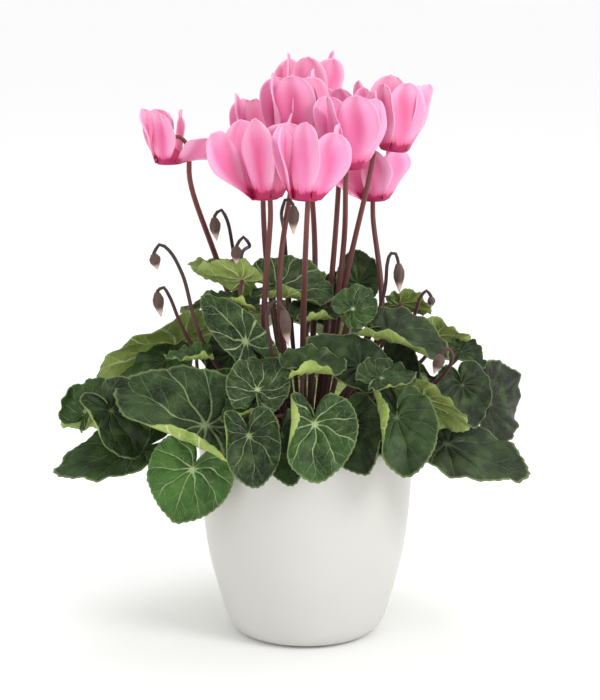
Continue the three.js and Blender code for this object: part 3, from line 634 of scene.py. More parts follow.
FRONT_LEAVES = [
    leaf_at("hang", (-71, -58, 122), (-85, -63, 90), (-0.1, -1, 0.12), wide=0.96, cup=-8),
    leaf_at("rim_centre", (5, -86, 158), (6, -104, 127), (0, -0.8, 0.6), wide=0.92, right=175),
    leaf_at("rim_mid_left", (-35, -86, 151), (-30, -99, 122), (0.05, -0.9, 0.4), wide=0.8, left=50,
            right=110),
    leaf_at("rim_right", (56, -70, 158), (63, -94, 129), (0.15, -0.8, 0.6), wide=0.8, right=180),
    leaf_at("centre", (-30, -66, 176), (-24, -44, 195), (0.05, -0.55, 0.83), wide=0.85, cup=12),
    leaf_at("right_tip", (88, -46, 135), (141, -54, 121), (0.15, -0.42, 0.9), wide=0.66),
    leaf_at("big_left", (-63, -60, 153), (-127, -42, 181), (-0.3, -0.6, 0.74), wide=0.66, left=150, right=20),
    leaf_at("left_cup", (-122, -46, 157), (-103, -52, 129), (-0.1, -0.8, 0.6), wide=0.85, left=20, right=100),
    leaf_at("left_tip", (-111, -30, 128), (-160, -40, 118), (-0.1, -0.42, 0.9), wide=0.62),
    leaf_at("left_bright", (-86, 24, 184), (-146, 30, 148), (-0.45, 0.55, 0.7), wide=0.6),
    leaf_at("round_right", (46, -66, 182), (67, -53, 186), (0.1, -0.5, 0.86), wide=0.8, right=70),
    leaf_at("slant", (33, -46, 186), (1, -40, 203), (-0.3, -0.62, 0.72), wide=0.62, left=45),
    leaf_at("top_centre", (-17, 8, 226), (20, 13, 223), (0, -0.7, 0.7), wide=0.75, left=14, right=150),
    leaf_at("pointed", (-38, -31, 198), (-66, -17, 226), (0.1, -0.85, 0.5), wide=0.44, right=40),
    leaf_at("right_far", (119, -8, 152), (141, 20, 164), (0.62, -0.74, 0.2), wide=0.9, cup=-8),
    leaf_at("right_shelf", (51, -22, 200), (92, -28, 190), (0.1, -0.38, 0.92), wide=0.78, right=100),
    leaf_at("left_face", (-140, -32, 153), (-128, -24, 173), (-0.35, -0.8, 0.5), wide=0.95, left=130,
            right=130),
    leaf_at("cup_low", (-1, -58, 185), (25, -52, 188), (0, -0.4, 0.92), wide=0.85, left=50, right=130),
    leaf_at("lime_top", (-41, 3, 231), (-70, 5, 241), (0.05, 0.75, 0.66), wide=0.62),
    leaf_at("curl_top", (-42, -8, 219), (-68, -2, 226), (0, -0.35, 0.93), wide=0.6, left=140),
    leaf_at("up_right", (29, -10, 213), (43, 0, 223), (0.2, -0.7, 0.6), wide=0.9),
    leaf_at("top_right", (34, 34, 224), (34, 42, 246), (0.05, -0.95, 0.35)),
]
FILLING_LEAVES = [
    leaf_at("rolled_right", (74, -44, 163), (103, -40, 143), (0.3, 0.75, 0.6), wide=0.6, fold=-8),
    leaf_at("rim_shade", (31, -60, 152), (42, -84, 117), (0.1, -0.85, 0.45), fold=4),
    leaf_at("rim_dark", (-14, -64, 143), (-9, -86, 119), (-0.1, -0.85, 0.45), wide=0.65, right=90),
    leaf_at("left_under", (-51, -52, 164), (-88, -42, 173), (-0.1, -0.5, 0.85), wide=0.7),
    leaf_at("centre_lobe", (-41, -72, 171), (-57, -72, 165), (-0.1, -0.55, 0.8), left=110),
    leaf_at("right_dark", (99, -28, 169), (108, -38, 144), (0.3, -0.85, 0.4)),
    leaf_at("right_back", (83, 8, 195), (109, 10, 189), (0.3, 0.75, 0.6), wide=0.7),
    leaf_at("right_lime", (60, 26, 211), (81, 28, 208), (0.2, 0.7, 0.65), wide=0.8),
    leaf_at("cup_high", (9, -8, 209), (31, 0, 211), (0, -0.4, 0.92), wide=0.8, left=50, right=130),
    leaf_at("small_left", (-69, -32, 189), (-89, -34, 190), (0, -0.35, 0.93), wide=0.7, left=130),
    leaf_at("right_small", (100, -6, 186), (116, -10, 178), (0.4, -0.6, 0.7)),
    leaf_at("inner_right", (50, -6, 170), (58, -16, 138), (0.3, -0.9, 0.3), wide=0.85),
    leaf_at("inner_left", (-48, -8, 186), (-54, -18, 158), (-0.2, -0.9, 0.3), wide=0.8),
    leaf_at("inner_back", (14, 26, 216), (20, 30, 190), (0, -0.95, 0.3), wide=0.9),
    leaf_at("top_left", (-52, 38, 221), (-80, 42, 230), (-0.3, 0.55, 0.8)),
    leaf_at("back_left_low", (-84, 44, 148), (-120, 66, 122), (-0.45, 0.3, 0.85), wide=0.85),
    leaf_at("back_left_mid", (-70, 52, 180), (-100, 78, 160), (-0.4, 0.2, 0.9), wide=0.9),
    leaf_at("back_top", (-12, 56, 222), (-18, 92, 214), (0, 0.3, 0.95), wide=0.9),
    leaf_at("left_dark", (-82, -4, 180), (-116, -8, 170), (-0.2, -0.3, 0.93), wide=0.6),
    leaf_at("back_mid_left", (-20, 68, 196), (-32, 108, 180), (-0.1, 0.35, 0.93), wide=0.9),
    leaf_at("back_mid_far", (-56, 58, 203), (-88, 80, 190), (-0.25, 0.25, 0.93), wide=0.7),
    leaf_at("far_left", (-130, -20, 145), (-158, -14, 138), (-0.2, 0.85, 0.45), wide=0.6),
]
FANS = [
    dict(name="back_low_right", azimuth=42, radius=92, height=156, slope=34, length=48, spread=21),
    dict(name="back_low_middle", azimuth=106, radius=88, height=150, slope=34, length=46, spread=20),
    dict(name="back_mid_right", azimuth=55, radius=72, height=194, slope=24, length=42, spread=25),
]
print("Leaf pieces:", len(FRONT_LEAVES + FILLING_LEAVES + FANS))


# %% [markdown]
# A blade has directions of its own: along its midrib, to its left, and up from its face. A fan is three
# blades side by side, the outer two a little lower.

# %% Directions of the leaves
DEFAULT_FORM = dict(wide=0.78, fold=6, cup=0, left=0, right=0, droop=12, wave=1.1)
PHASE_STEP = 2.4
FAN_DROP = 2
FAN_WIDE = 0.92


def formed(row, index):
    leaf = {**DEFAULT_FORM, **row}
    navel = np.array(leaf["navel"], float)
    reach = np.array(leaf["tip"], float) - navel
    along = unit(reach)
    left = unit(np.cross(leaf["face"], along))
    angles = {key: math.radians(leaf[key]) for key in ("fold", "cup", "left", "right", "droop")}
    leaf.update(angles, navel=navel, along=along, side=left, up=np.cross(along, left),
                length=np.linalg.norm(reach), phase=index * PHASE_STEP)
    return leaf


def fan_leaf(fan, index, place):
    azimuth = math.radians(fan["azimuth"] + place * fan["spread"])
    slope = math.radians(fan["slope"])
    outward = np.array([math.cos(azimuth), math.sin(azimuth), 0])
    upward = np.array([0, 0, 1])
    navel = outward * fan["radius"] + upward * (fan["height"] - FAN_DROP * abs(place))
    tip = navel + fan["length"] * (outward * math.cos(slope) - upward * math.sin(slope))
    face = outward * math.sin(slope) + upward * math.cos(slope)
    row = dict(name=fan["name"], navel=navel, tip=tip, face=face, fold=0, wide=FAN_WIDE)
    return formed(row, index * 3 + place)


# %% [markdown]
# The heart's outline is a smooth curve in polar form. The blade is bent in two ways: each cross-section
# turns up step by step from the midrib to the margin, and the midrib droops along a circle.

# %% The surface of a blade
BLADE_REACH = [1, 0.91, 0.85, 0.82, 0.8, 0.77, 0.7, 0.54, 0.12]
BLADE_STEPS = 16
HALF_WIDTH_SHARE = 0.8
TIP_CURL_SHARE = 0.35
ROLL_POWER = 2
WAVES_ROUND_THE_EDGE = 5


def outline_reach(angle):
    """The heart's reach at an angle from the tip: a smooth curve through the shares of `BLADE_REACH`."""
    step = (angle * BLADE_STEPS / (2 * math.pi)) % BLADE_STEPS
    first = np.floor(step).astype(int)
    t = step - first
    ring = np.array(BLADE_REACH + BLADE_REACH[-2:0:-1])
    a, b, c, d = (ring[(first + k) % BLADE_STEPS] for k in (-1, 0, 1, 2))
    return b + 0.5 * t * (c - a + t * (2 * a - 5 * b + 4 * c - d + t * (3 * (b - c) + d - a)))


def section(leaf, along_midrib, across, curl, steps):
    """How far a half reaches out and rises at a distance from the midrib, and its slope there."""
    half_width = HALF_WIDTH_SHARE * leaf["length"] * leaf["wide"]
    towards_base = np.clip(1 - along_midrib / leaf["length"], 0, 1)
    roll = curl * (TIP_CURL_SHARE + (1 - TIP_CURL_SHARE) * towards_base)
    step = across / steps
    out, rise = np.zeros_like(across), np.zeros_like(across)
    for k in range(steps):
        share = (k + 0.5) * step / half_width
        slope = leaf["fold"] + leaf["cup"] * share + roll * share ** ROLL_POWER
        out += step * np.cos(slope)
        rise += step * np.sin(slope)
    return out, rise, slope


def blade_points(leaf, share, angle, offset=0.0, lift=0.0, steps=6):
    """Points in millimetres, by share of the reach from the stalk and angle from the tip to the left."""
    reach = share * leaf["length"] * outline_reach(angle)
    along_midrib = reach * np.cos(angle)
    across = reach * np.sin(angle) * leaf["wide"]
    sign = np.where(np.abs(across) > 1e-9, np.sign(across), 0)
    curl = np.where(sign < 0, leaf["right"], leaf["left"])
    out, rise, slope = section(leaf, along_midrib, np.abs(across), curl, steps)
    wave = leaf["wave"] * share ** 3 * np.sin(WAVES_ROUND_THE_EDGE * angle + leaf["phase"])
    turn = leaf["droop"] * np.maximum(along_midrib, 0) / leaf["length"] + 1e-6
    normal = line(np.cos(turn), leaf["up"]) + line(np.sin(turn), leaf["along"])
    rib = line(along_midrib * np.sin(turn) / turn, leaf["along"])
    rib -= line(along_midrib * (1 - np.cos(turn)) / turn, leaf["up"])
    facing = normal * np.cos(slope)[:, None] - line(sign * np.sin(slope), leaf["side"])
    above = normal * (rise + wave + lift)[:, None] + facing * offset
    return leaf["navel"] + rib + line(sign * out, leaf["side"]) + above


# %% [markdown]
# The CAD moved, tilted or shrank some blades a little so that none touches another. The change is found
# again here: of the few scales and tilts that were open to it, the one whose coarse box has the size of the
# CAD node's box, and then the shift between the two boxes' centres. A fan only shifts.

# %% Fit each leaf to its CAD node
SCALES = (1, 0.88, 0.76)
TILTS = (0, 15, -15, 30, -30)
BLADE_THICKNESS = 0.9
INNER_SHARE = 0.6


def coarse_box(leaves):
    points = []
    for leaf in leaves:
        for offset in (-BLADE_THICKNESS / 2, BLADE_THICKNESS / 2):
            points.append(leaf["navel"][None] + leaf["up"] * offset)
            for share, stride in ((INNER_SHARE, 2), (1, 1)):
                angle = 2 * math.pi * np.arange(0, BLADE_STEPS, stride) / BLADE_STEPS
                points.append(blade_points(leaf, np.full(len(angle), share), angle, offset))
    points = np.vstack(points)
    return points.min(0), points.max(0)


def changed(leaf, scale, tilt):
    """The leaf at another size, turned about its own length."""
    turn = np.array(Matrix.Rotation(math.radians(tilt), 3, Vector(leaf["along"])))
    return {**leaf, "length": leaf["length"] * scale, "side": turn @ leaf["side"], "up": turn @ leaf["up"]}


def cad_box_mm(name):
    return [np.array(corner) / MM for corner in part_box(name)]


def fitted(leaves):
    low, high = cad_box_mm("leaf_" + leaves[0]["name"])
    changes = [(scale, tilt) for scale in SCALES for tilt in TILTS]
    if len(leaves) > 1:
        changes = changes[:1]
    best = None
    for change in changes:
        tried = [changed(leaf, *change) for leaf in leaves]
        tried_low, tried_high = coarse_box(tried)
        miss = np.abs((tried_high - tried_low) - (high - low)).max()
        if best is None or miss < best[0]:
            best = miss, tried, (low + high - tried_low - tried_high) / 2
    miss, tried, shift = best
    for leaf in tried:
        leaf["navel"] = leaf["navel"] + shift
        leaf["miss"] = miss
    return tried


singles = [[formed(row, k)] for k, row in enumerate(FRONT_LEAVES + FILLING_LEAVES)]
fans = [[fan_leaf(fan, k, place) for place in (0, -1, 1)] for k, fan in enumerate(FANS)]
GROUPS = [fitted(group) for group in singles + fans]
print("Largest misfit of a blade's box, mm:", round(max(group[0]["miss"] for group in GROUPS), 3))


# %% [markdown]
# One flat round blank is modelled: a small disc whose rim is extruded outwards ring by ring, finer towards
# the margin. It carries both faces' materials, and every blade is a copy of it.

# %% The blank
BLADE_SIDES = 144
RINGS = (0.05, 0.12, 0.2, 0.28, 0.36, 0.44, 0.52, 0.6, 0.68, 0.75, 0.82, 0.88, 0.93, 0.97, 1)


def leaf_blank():
    blank = fresh(bpy.ops.mesh.primitive_circle_add, vertices=BLADE_SIDES, radius=RINGS[0],
                  fill_type="TRIFAN")
    edit(blank, "EDGE", "DESELECT")
    for inner, outer in zip(RINGS, RINGS[1:]):
        bpy.ops.mesh.select_all(action="DESELECT")
        bpy.ops.mesh.select_non_manifold()
        bpy.ops.mesh.extrude_region()
        bpy.ops.transform.resize(value=(outer / inner,) * 3, center_override=(0, 0, 0))
    bpy.ops.object.mode_set(mode="OBJECT")
    face_outwards(blank)
    if blank.data.polygons[0].normal.z < 0:
        blank.data.flip_normals()
    for face in ("upper", "lower"):
        blank.data.materials.append(MATERIALS[face])
    return blank


# %% [markdown]
# The blank's vertices are moved onto the blade's surface with the relief that shows from a step away: sunken
# veins, cushions between them, a rippled margin and small teeth. The relief and the painted veins read the
# same flat map, which each leaf shakes in its own way.

# %% A fine blade
FINE_STEPS = 14
VISIBLE_THICKNESS = 0.7
VEIN_SINK = 0.55
SINK_WIDTH = 0.14
CUSHION = 1.7
CUSHION_LEAF = 50
RIPPLE = 1.3
WAVE = 1.6
TEETH = 44
TOOTH = 0.012
WANDER = 0.04


def wandered(leaf, u, v):
    """The flat map, shaken softly, so that a leaf's veins run in long uneven curves."""
    phase = leaf["phase"]
    grown = WANDER * np.clip(3 * np.hypot(u, v), 0, 1)
    shaken_u = u + grown * (np.sin(6 * v + phase) + 0.5 * np.sin(12 * v + 8 * u + 2 * phase))
    shaken_v = v + grown * (np.sin(5 * u + 2 * phase) + 0.5 * np.sin(11 * u - 8 * v + phase))
    return shaken_u, shaken_v


def relief(leaf, share, angle, u, v):
    """How far the upper face stands up: cushions between veins, and waves that grow to the margin."""
    bent = np.arctan2(v, u) * (1 + np.hypot(u, v) * VEIN_BEND)
    between = np.abs(np.sin(bent * math.pi / VEIN_ANGLE))
    dome = np.sin(math.pi * np.clip(share, 0, 1)) * leaf["length"] / CUSHION_LEAF
    cushion = CUSHION * (between ** 0.7 - 0.6) * dome
    groove = np.exp(-(between * share / SINK_WIDTH) ** 2) * np.clip(share * 4, 0, 1) * (1 - share ** 4)
    phase = leaf["phase"] * 1.7
    ripple = RIPPLE * share ** 5 * (np.sin(11 * angle + phase) + 0.6 * np.sin(17 * angle + 2 * phase))
    wave = WAVE * share ** 2 * (np.sin(3 * angle + phase) + 0.5 * np.sin(5 * angle + 3 * phase))
    return cushion - VEIN_SINK * groove + ripple + wave


def fine_blade(blank, leaf, name):
    flat = points_of(blank)
    share = np.hypot(flat[:, 0], flat[:, 1])
    angle = np.arctan2(flat[:, 1], flat[:, 0]) % (2 * math.pi)
    toothed = share * (1 + TOOTH * share ** 12 * np.sin(TEETH * angle))
    reach = share * outline_reach(angle)
    u, v = wandered(leaf, reach * np.cos(angle), reach * np.sin(angle) * leaf["wide"])
    lift = relief(leaf, share, angle, u, v)
    blade = copy_of(blank, name)
    set_points(blade, blade_points(leaf, toothed, angle, lift=lift, steps=FINE_STEPS))
    set_uv(blade, u, v)
    point_values(blade, "share", share)
    for tint in ("tone", "veined", "aged"):
        point_values(blade, tint, leaf[tint])
    wall(blade, VISIBLE_THICKNESS, material_offset=1, material_offset_rim=0)
    return blade


# %% [markdown]
# Young leaves are brighter and some have a strong pale net. Those that stand out are named; the others draw
# theirs at random, mostly dark. Brightness is partly the leaves' own and partly painted light and shade:
# leaves deep in the crown are painted darker. Leaves further to the right are older and browner.

# %% Brightness with painted shade, and all the blades
BRIGHT = {"hang": 1.0, "rim_centre": 0.3, "up_right": 0.4, "small_left": 0.4, "left_face": 0.3}
PALE_VEINS = {"hang": 1.0, "centre": 0.9, "rim_centre": 0.9, "rim_mid_left": 0.6, "up_right": 0.9,
              "top_centre": 0.8, "pointed": 0.8, "round_right": 0.45, "big_left": 0.5, "left_face": 0.5}
USUAL_SHARE = 0.25
AGED_FROM = 20
AGED_OVER = 110
MOST_AGED = 0.7
rng = np.random.default_rng(5)
blank = leaf_blank()
for group in GROUPS:
    for leaf in group:
        # Brightness: partly the leaf's own, partly painted light and shade.
        leaf["tone"] = BRIGHT.get(leaf["name"], rng.uniform(0, USUAL_SHARE))
        leaf["veined"] = PALE_VEINS.get(leaf["name"], rng.uniform(0, USUAL_SHARE))
        age = np.clip((leaf["navel"][0] - AGED_FROM) / AGED_OVER, 0, MOST_AGED)
        leaf["aged"] = float(age * rng.uniform(0.4, 1))
    blades = [fine_blade(blank, leaf, f"blade_{leaf['name']}_{k}") for k, leaf in enumerate(group)]
    blade = join(blades, "blade_" + group[0]["name"])
    finish(blade, replaced="leaf_" + group[0]["name"])
print("Blades:", sum(len(group) for group in GROUPS), "faces of the blank:", len(blank.data.polygons))
bpy.data.objects.remove(blank)


# %% [markdown]
# ## Blooms
#
# Each row gives the middle of a bloom's mouth, the tilt of its axis, a lower point of its stem, the azimuth
# where the stem passes between two petals, the petals' length and width, and how far each one leans out and
# turns about its own length.

# %% The blooms, in millimetres and degrees
BLOOMS = [
    dict(name="front", mouth=[-1, -64, 293], lean=[0.06, 0], via=[-2, -14, 192], gap=80, length=43,
         width=21, spread=[12, 9, 7, 17, 12], twist=[20, 30, 35, 55, 20]),
    dict(name="front_left", mouth=[-25, -36, 290], lean=[-0.04, 0], via=[-26, -12, 192], gap=80, length=47,
         width=25, spread=[14, 31, 10, 8, 10], twist=[20, 60, 38, 30, 20]),
    dict(name="left", mouth=[-86, -5, 308], lean=[-0.02, 0], via=[-57, 24, 238], gap=10, length=32,
         width=18, spread=[15, 8, 8, 9, 66], twist=[62, 20, 20, 22, 45]),
    dict(name="right_front", mouth=[27, -32, 308], lean=[0.02, 0], via=[24, 12, 250], gap=100, length=43,
         width=23, spread=[10, 10, 13, 9, 12], twist=[20, 20, 30, 36, 20]),
    dict(name="right", mouth=[55, -4, 316], lean=[0.12, 0], via=[26, 16, 230], gap=170, length=41,
         width=22, spread=[10, 6, 10, 8, 8], twist=[20, 24, 20, 34, 20]),
    dict(name="right_low", mouth=[44, 30, 280], lean=[0, 0], via=[48, 14, 197], gap=90, length=34,
         width=22, spread=[16, 46, 14, 14, 12], twist=[20, 50, 36, 20, 20]),
    dict(name="middle", mouth=[-8, -6, 316], lean=[0, 0], via=[-17, -16, 230], gap=90, length=46, width=26,
         spread=[5, 5, 8, 6, 5], twist=[20, 34, 20, 34, 20]),
    dict(name="top", mouth=[2, 74, 320], lean=[0, 0], via=[6, 46, 240], gap=90, length=48, width=22,
         spread=[10, 9, 7, 9, 10], twist=[20, 34, 20, 34, 20]),
    dict(name="right_middle", mouth=[22, 32, 308], lean=[0.02, 0], via=[18, 34, 240], gap=90, length=43,
         width=20, spread=[8, 7, 7, 8, 8], twist=[20, 20, 22, 20, 20]),
    dict(name="back_left", mouth=[-30, 30, 303], lean=[-0.02, 0.02], via=[-26, 34, 240], gap=84, length=42,
         width=21, spread=[5, 6, 9, 8, 8], twist=[20, 24, 34, 20, 20]),
]
print("Bloom rows:", len(BLOOMS))


# %% [markdown]
# A bloom's places are given about its own axis: how far out, how high and which way round. A petal starts
# inside the mouth, turns over the lip and grows up and outwards, with a slight bulge.

# %% A bloom's own directions and its petals' surface
FIRST_PETAL = 54
PETAL_STEP = 63
PETAL_BULGE = 0.05
PETAL_FACING = (0, 32, 90)
PETAL_STAGGER = 0.17
LIP_TWIST_SHARE = 0.3
PETAL_CUP = 0.14
PETAL_ROOT = (6, 1.4)
MOUTH_RADIUS = 9
MOUTH_DROP = 0.5


def bloom_frame(bloom):
    axis = unit(np.array([*bloom["lean"], 1.0]))
    gap = math.radians(bloom["gap"])
    side = unit(np.cross(axis, [math.cos(gap), math.sin(gap), 0]))
    return dict(mouth=np.array(bloom["mouth"], float), axis=axis, side=side, ahead=np.cross(side, axis))


def about_axis(own, radius, height, angle=0.0):
    around = line(np.cos(angle) * radius, own["ahead"]) + line(np.sin(angle) * radius, own["side"])
    return own["mouth"] + around + line(height, own["axis"])


def petal_points(bloom, own, number, share, place, half_share, offset=0.0):
    """Points of a petal: share from the lip (0) to the tip (1), below 0 in the mouth; place across it."""
    angle = math.radians(FIRST_PETAL + number * PETAL_STEP)
    spread = math.radians(bloom["spread"][number])
    radial = own["ahead"] * math.cos(angle) + own["side"] * math.sin(angle)
    tangent = np.cross(own["axis"], radial)
    up = own["axis"] * math.cos(spread) + radial * math.sin(spread)
    grown = np.maximum(share, 0)
    inside = np.sin(np.clip(-3 * share, 0, 1) * math.pi / 2)
    bulge = PETAL_BULGE * np.sin(math.pi * grown)
    radius = MOUTH_RADIUS + bloom["length"] * (math.sin(spread) * grown + bulge)
    height = bloom["length"] * math.cos(spread) * grown - MOUTH_DROP
    radius = radius + (PETAL_ROOT[0] - radius) * inside
    height = height + (PETAL_ROOT[1] - height) * (1 - np.sqrt(1 - inside ** 2 * 0.999))
    centre = about_axis(own, radius, height + PETAL_STAGGER * number, np.full_like(radius, angle))
    twist = math.radians(bloom["twist"][number]) * (LIP_TWIST_SHARE + (1 - LIP_TWIST_SHARE) * grown)
    across = line(np.cos(twist), tangent) + line(np.sin(twist), np.cross(tangent, up))
    turn = np.radians(np.interp(share, [-1 / 3, 0, 0.12], PETAL_FACING))
    facing = np.cross(across, up) * np.sin(turn)[:, None] - line(np.cos(turn), own["axis"])
    half = bloom["width"] * half_share / 2
    stands = offset - PETAL_CUP * half * np.abs(place)
    return centre + across * (place * half)[:, None] + facing * stands[:, None], up


# %% [markdown]
# The CAD moved some blooms a little towards or away from the viewer so that none touches another. The same
# coarse petals are worked out here, and the distance between their box's middle and the CAD node's says how
# far.

# %% Fit each bloom to its CAD node
PETALS = 5
PETAL_WIDTHS = [0.3, 0.4, 0.74, 0.98, 0.62]
PETAL_THICKNESS = 0.9
TIP_POINT = 2.5
DEEPER = np.array([0, 0.978, -0.208])


def coarse_petals(bloom, own):
    rows = len(PETAL_WIDTHS)
    share = np.repeat((np.arange(rows) - 1) / (rows - 2), 3)
    place = np.tile([-1.0, 0.0, 1.0], rows)
    points = []
    for number in range(PETALS):
        for offset in (-PETAL_THICKNESS / 2, PETAL_THICKNESS / 2):
            petal, up = petal_points(bloom, own, number, share, place, np.repeat(PETAL_WIDTHS, 3), offset)
            petal[-2] += up * TIP_POINT
            points.append(petal)
    return np.vstack(points)


def fitted_bloom(bloom):
    low, high = cad_box_mm("bloom_" + bloom["name"])
    coarse = coarse_petals(bloom, bloom_frame(bloom))
    depth = float((low + high - coarse.min(0) - coarse.max(0)) / 2 @ DEEPER)
    return {**bloom, "mouth": np.array(bloom["mouth"]) + DEEPER * depth, "depth": depth}


FITTED_BLOOMS = [fitted_bloom(bloom) for bloom in BLOOMS]
print("Blooms moved in depth, mm:", [round(bloom["depth"], 1) for bloom in FITTED_BLOOMS])


# %% [markdown]
# One petal blank is a fine grid; each petal is a copy bent by the formula. It is a little wider than its
# coarse solid, so that neighbours overlap as they do on the plant, and its margin is softly waved. A phase
# of its own makes each petal a little longer or broader and gives it another ruffle.

# %% Petal blank and petals
PETAL_ROWS = 34
PETAL_COLUMNS = 18
PETAL_START = -0.3
PETAL_END = 1.06
WIDER = 1.14
BROADEST = 0.62
PETAL_VISIBLE_THICKNESS = 0.6
MARGIN_WAVE = 2.7
FOLD = 1.1
IMBRICATE = 1.2
MIDDLE_GROOVE = 0.8
TIP_BEND = 3.5


def petal_half_share(share):
    """Half a petal's width along it: narrow at the lip, broadest at two thirds, round at the tip."""
    grown = np.clip(share / BROADEST, 0, 1)
    closing = np.clip((share - BROADEST) / (PETAL_END - BROADEST), 0, 1)
    return (0.3 + 0.7 * grown ** 1.2 * (1.8 - 0.8 * grown)) * (1.0001 - closing ** 2.3) ** 0.55


def ruffle(share, place, phase):
    """How far a petal stands off its plain form."""
    grown = np.clip(share, 0, 1)
    margin = MARGIN_WAVE * np.abs(place) ** 2.5 * np.sin(6.5 * share + phase + 1.2 * np.sign(place))
    fold = FOLD * np.sin(6 * place + 5 * share + phase)
    groove = MIDDLE_GROOVE * np.exp(-(place / 0.16) ** 2)
    height = grown * (margin + fold + IMBRICATE * place - groove)
    bend = TIP_BEND * np.clip(share - 0.5, 0, 1) ** 2 * (1 + 2 * math.cos(phase))
    return height * np.minimum(petal_half_share(share), 1) + bend


def fine_petal(blank, bloom, own, number, index):
    flat = points_of(blank)
    share = PETAL_START + (PETAL_END - PETAL_START) * (flat[:, 1] + 1) / 2
    phase = index * 2.1 + number * 1.3
    place = flat[:, 0] + 0.12 * math.sin(phase) * np.clip(share, 0, 1) * np.sin(3 * share)
    half_share = petal_half_share(share) * WIDER * (1 + 0.08 * math.sin(2.3 * phase))
    longer = {**bloom, "length": bloom["length"] * (1 + 0.05 * math.sin(2.9 * phase))}
    stands = ruffle(share, flat[:, 0], phase)
    points, _ = petal_points(longer, own, number, share, place, half_share, stands)
    petal = copy_of(blank, "petal")
    set_points(petal, points)
    set_uv(petal, place, share)
    point_values(petal, "deep", 0.42 + 0.28 * math.sin(phase * 1.7))
    point_values(petal, "cool", 0.5 + 0.5 * math.sin(index * 2.4 + number * 0.5))
    wall(petal, PETAL_VISIBLE_THICKNESS)
    return petal


# %% [markdown]
# The petals spring from a short tube. Its mouth looks down with a narrow thickened lip, and its domed top is
# where the stem ends. It is spun like the pot, and then set on the bloom's axis.

# %% Tube, and all the blooms
TUBE_TOP = 9.5
TUBE_SECTION = [(0, 3.2), (2.5, 3.0), (5.4, 1.6), (6.6, -0.6), (7.4, -1.0), (8.1, -0.6), (8.4, 2), (7.8, 4.4),
                (6.4, 6.6), (3, 9), (0, TUBE_TOP)]
TUBE_STEPS = 26
TUBE_SIDES = 30


def tube(own):
    piece = spun("tube", smooth_chain(TUBE_SECTION, TUBE_STEPS).clip([0, -2], None), TUBE_SIDES)
    local = points_of(piece) / MM
    ring = np.hypot(local[:, 0], local[:, 1])
    angle = np.arctan2(local[:, 1], local[:, 0])
    set_points(piece, about_axis(own, ring, local[:, 2], angle))
    set_uv(piece, np.cos(angle), 0.02 * ring - 0.1)
    return piece


def flower(blank, bloom, index):
    own = bloom_frame(bloom)
    petals = [fine_petal(blank, bloom, own, number, index) for number in range(PETALS)]
    whole = join([*petals, tube(own)], "flower_" + bloom["name"])
    return finish(whole, "petal", "bloom_" + bloom["name"])


grid = dict(x_subdivisions=PETAL_COLUMNS, y_subdivisions=PETAL_ROWS, size=2)
blank = fresh(bpy.ops.mesh.primitive_grid_add, **grid)
flowers = [flower(blank, bloom, index) for index, bloom in enumerate(FITTED_BLOOMS)]
print("Flowers:", len(flowers), "faces each:", len(flowers[0].data.polygons))
bpy.data.objects.remove(blank)


# %% [markdown]
# ## Corm, stems and leaf stalks
#
# A stalk is a thin round rod along a curve. Blender's curve object makes it: the points are the route, the
# bevel depth is a radius of 1 mm, and each point makes it thicker or thinner. The routes are those of the
# CAD crown: from the corm up, and for a bloom over in a hook and down into its tube.

# %% Rods along routes
CORM_RADIUS = 31
CORM_HALF_HEIGHT = 15
CORM_MIDDLE = 113
ROOT_DEPTH = 4
HOOK_RADIUS = 1.2


def corm_top(radius):
    return CORM_MIDDLE + CORM_HALF_HEIGHT * math.sqrt(1 - (radius / CORM_RADIUS) ** 2)


def rods(name, routes, sides=3):
    """One mesh of round rods; each route is (points in millimetres, radius at each point)."""
    curve = bpy.data.curves.new(name, "CURVE")
    curve.dimensions = "3D"
    curve.bevel_depth = MM
    curve.bevel_resolution = sides
    curve.use_fill_caps = True
    for points, radii in routes:
        spline = curve.splines.new("POLY")
        spline.points.add(len(points) - 1)
        for knot, point, radius in zip(spline.points, points, radii):
            knot.co = (*(point * MM), 1)
            knot.radius = radius
    only(linked(name, curve))
    bpy.ops.object.convert(target="MESH")
    return bpy.context.object


# %% Flower stems
STEM_RADIUS = 1.9
STEM_ROOT_SHARE = 0.3
STEM_ROOT_RING = 10
BESIDE = 12.5
BESIDE_HEIGHTS = (-12, 4)
HOOK = ((10.5, 12), (5.5, 16), (0.8, 13.5), (0, TUBE_TOP - 0.6))
SPLICE = 0.8
SHAFT_STEPS = 40
HOOK_STEPS = 18
SHAFT_END_GAP = 4


def stem_route(bloom):
    """Up beside the bloom, over its top in a hook and down to its tube, thinner as it goes."""
    own = bloom_frame(bloom)
    root = np.array([*(np.array(bloom["via"][:2]) * STEM_ROOT_SHARE), corm_top(STEM_ROOT_RING) - ROOT_DEPTH])
    below, beside = (about_axis(own, BESIDE, height) for height in BESIDE_HEIGHTS)
    shaft = smooth_chain([root, bloom["via"], below, beside], SHAFT_STEPS)
    shaft = shaft[np.linalg.norm(shaft - shaft[-1], axis=1) > SHAFT_END_GAP]
    over = [about_axis(own, radius, height) for radius, height in HOOK]
    hook = smooth_chain([below + (beside - below) * SPLICE, *over], HOOK_STEPS)
    shaft_radii = STEM_RADIUS * (1.2 - 0.35 * np.linspace(0, 1, len(shaft)))
    hook_radii = np.linspace(1.45, HOOK_RADIUS, len(hook))
    return np.vstack([shaft, hook]), np.concatenate([shaft_radii, hook_radii])


stems = rods("flower_stems", [stem_route(bloom) for bloom in FITTED_BLOOMS])
finish(stems, "stem")
print("Stem faces:", len(stems.data.polygons))


# %% [markdown]
# The CAD chose each leaf stalk's way round the others from a short list of lifts and side steps. The one it
# took is found again as the candidate that runs nearest to the CAD crown's own points.

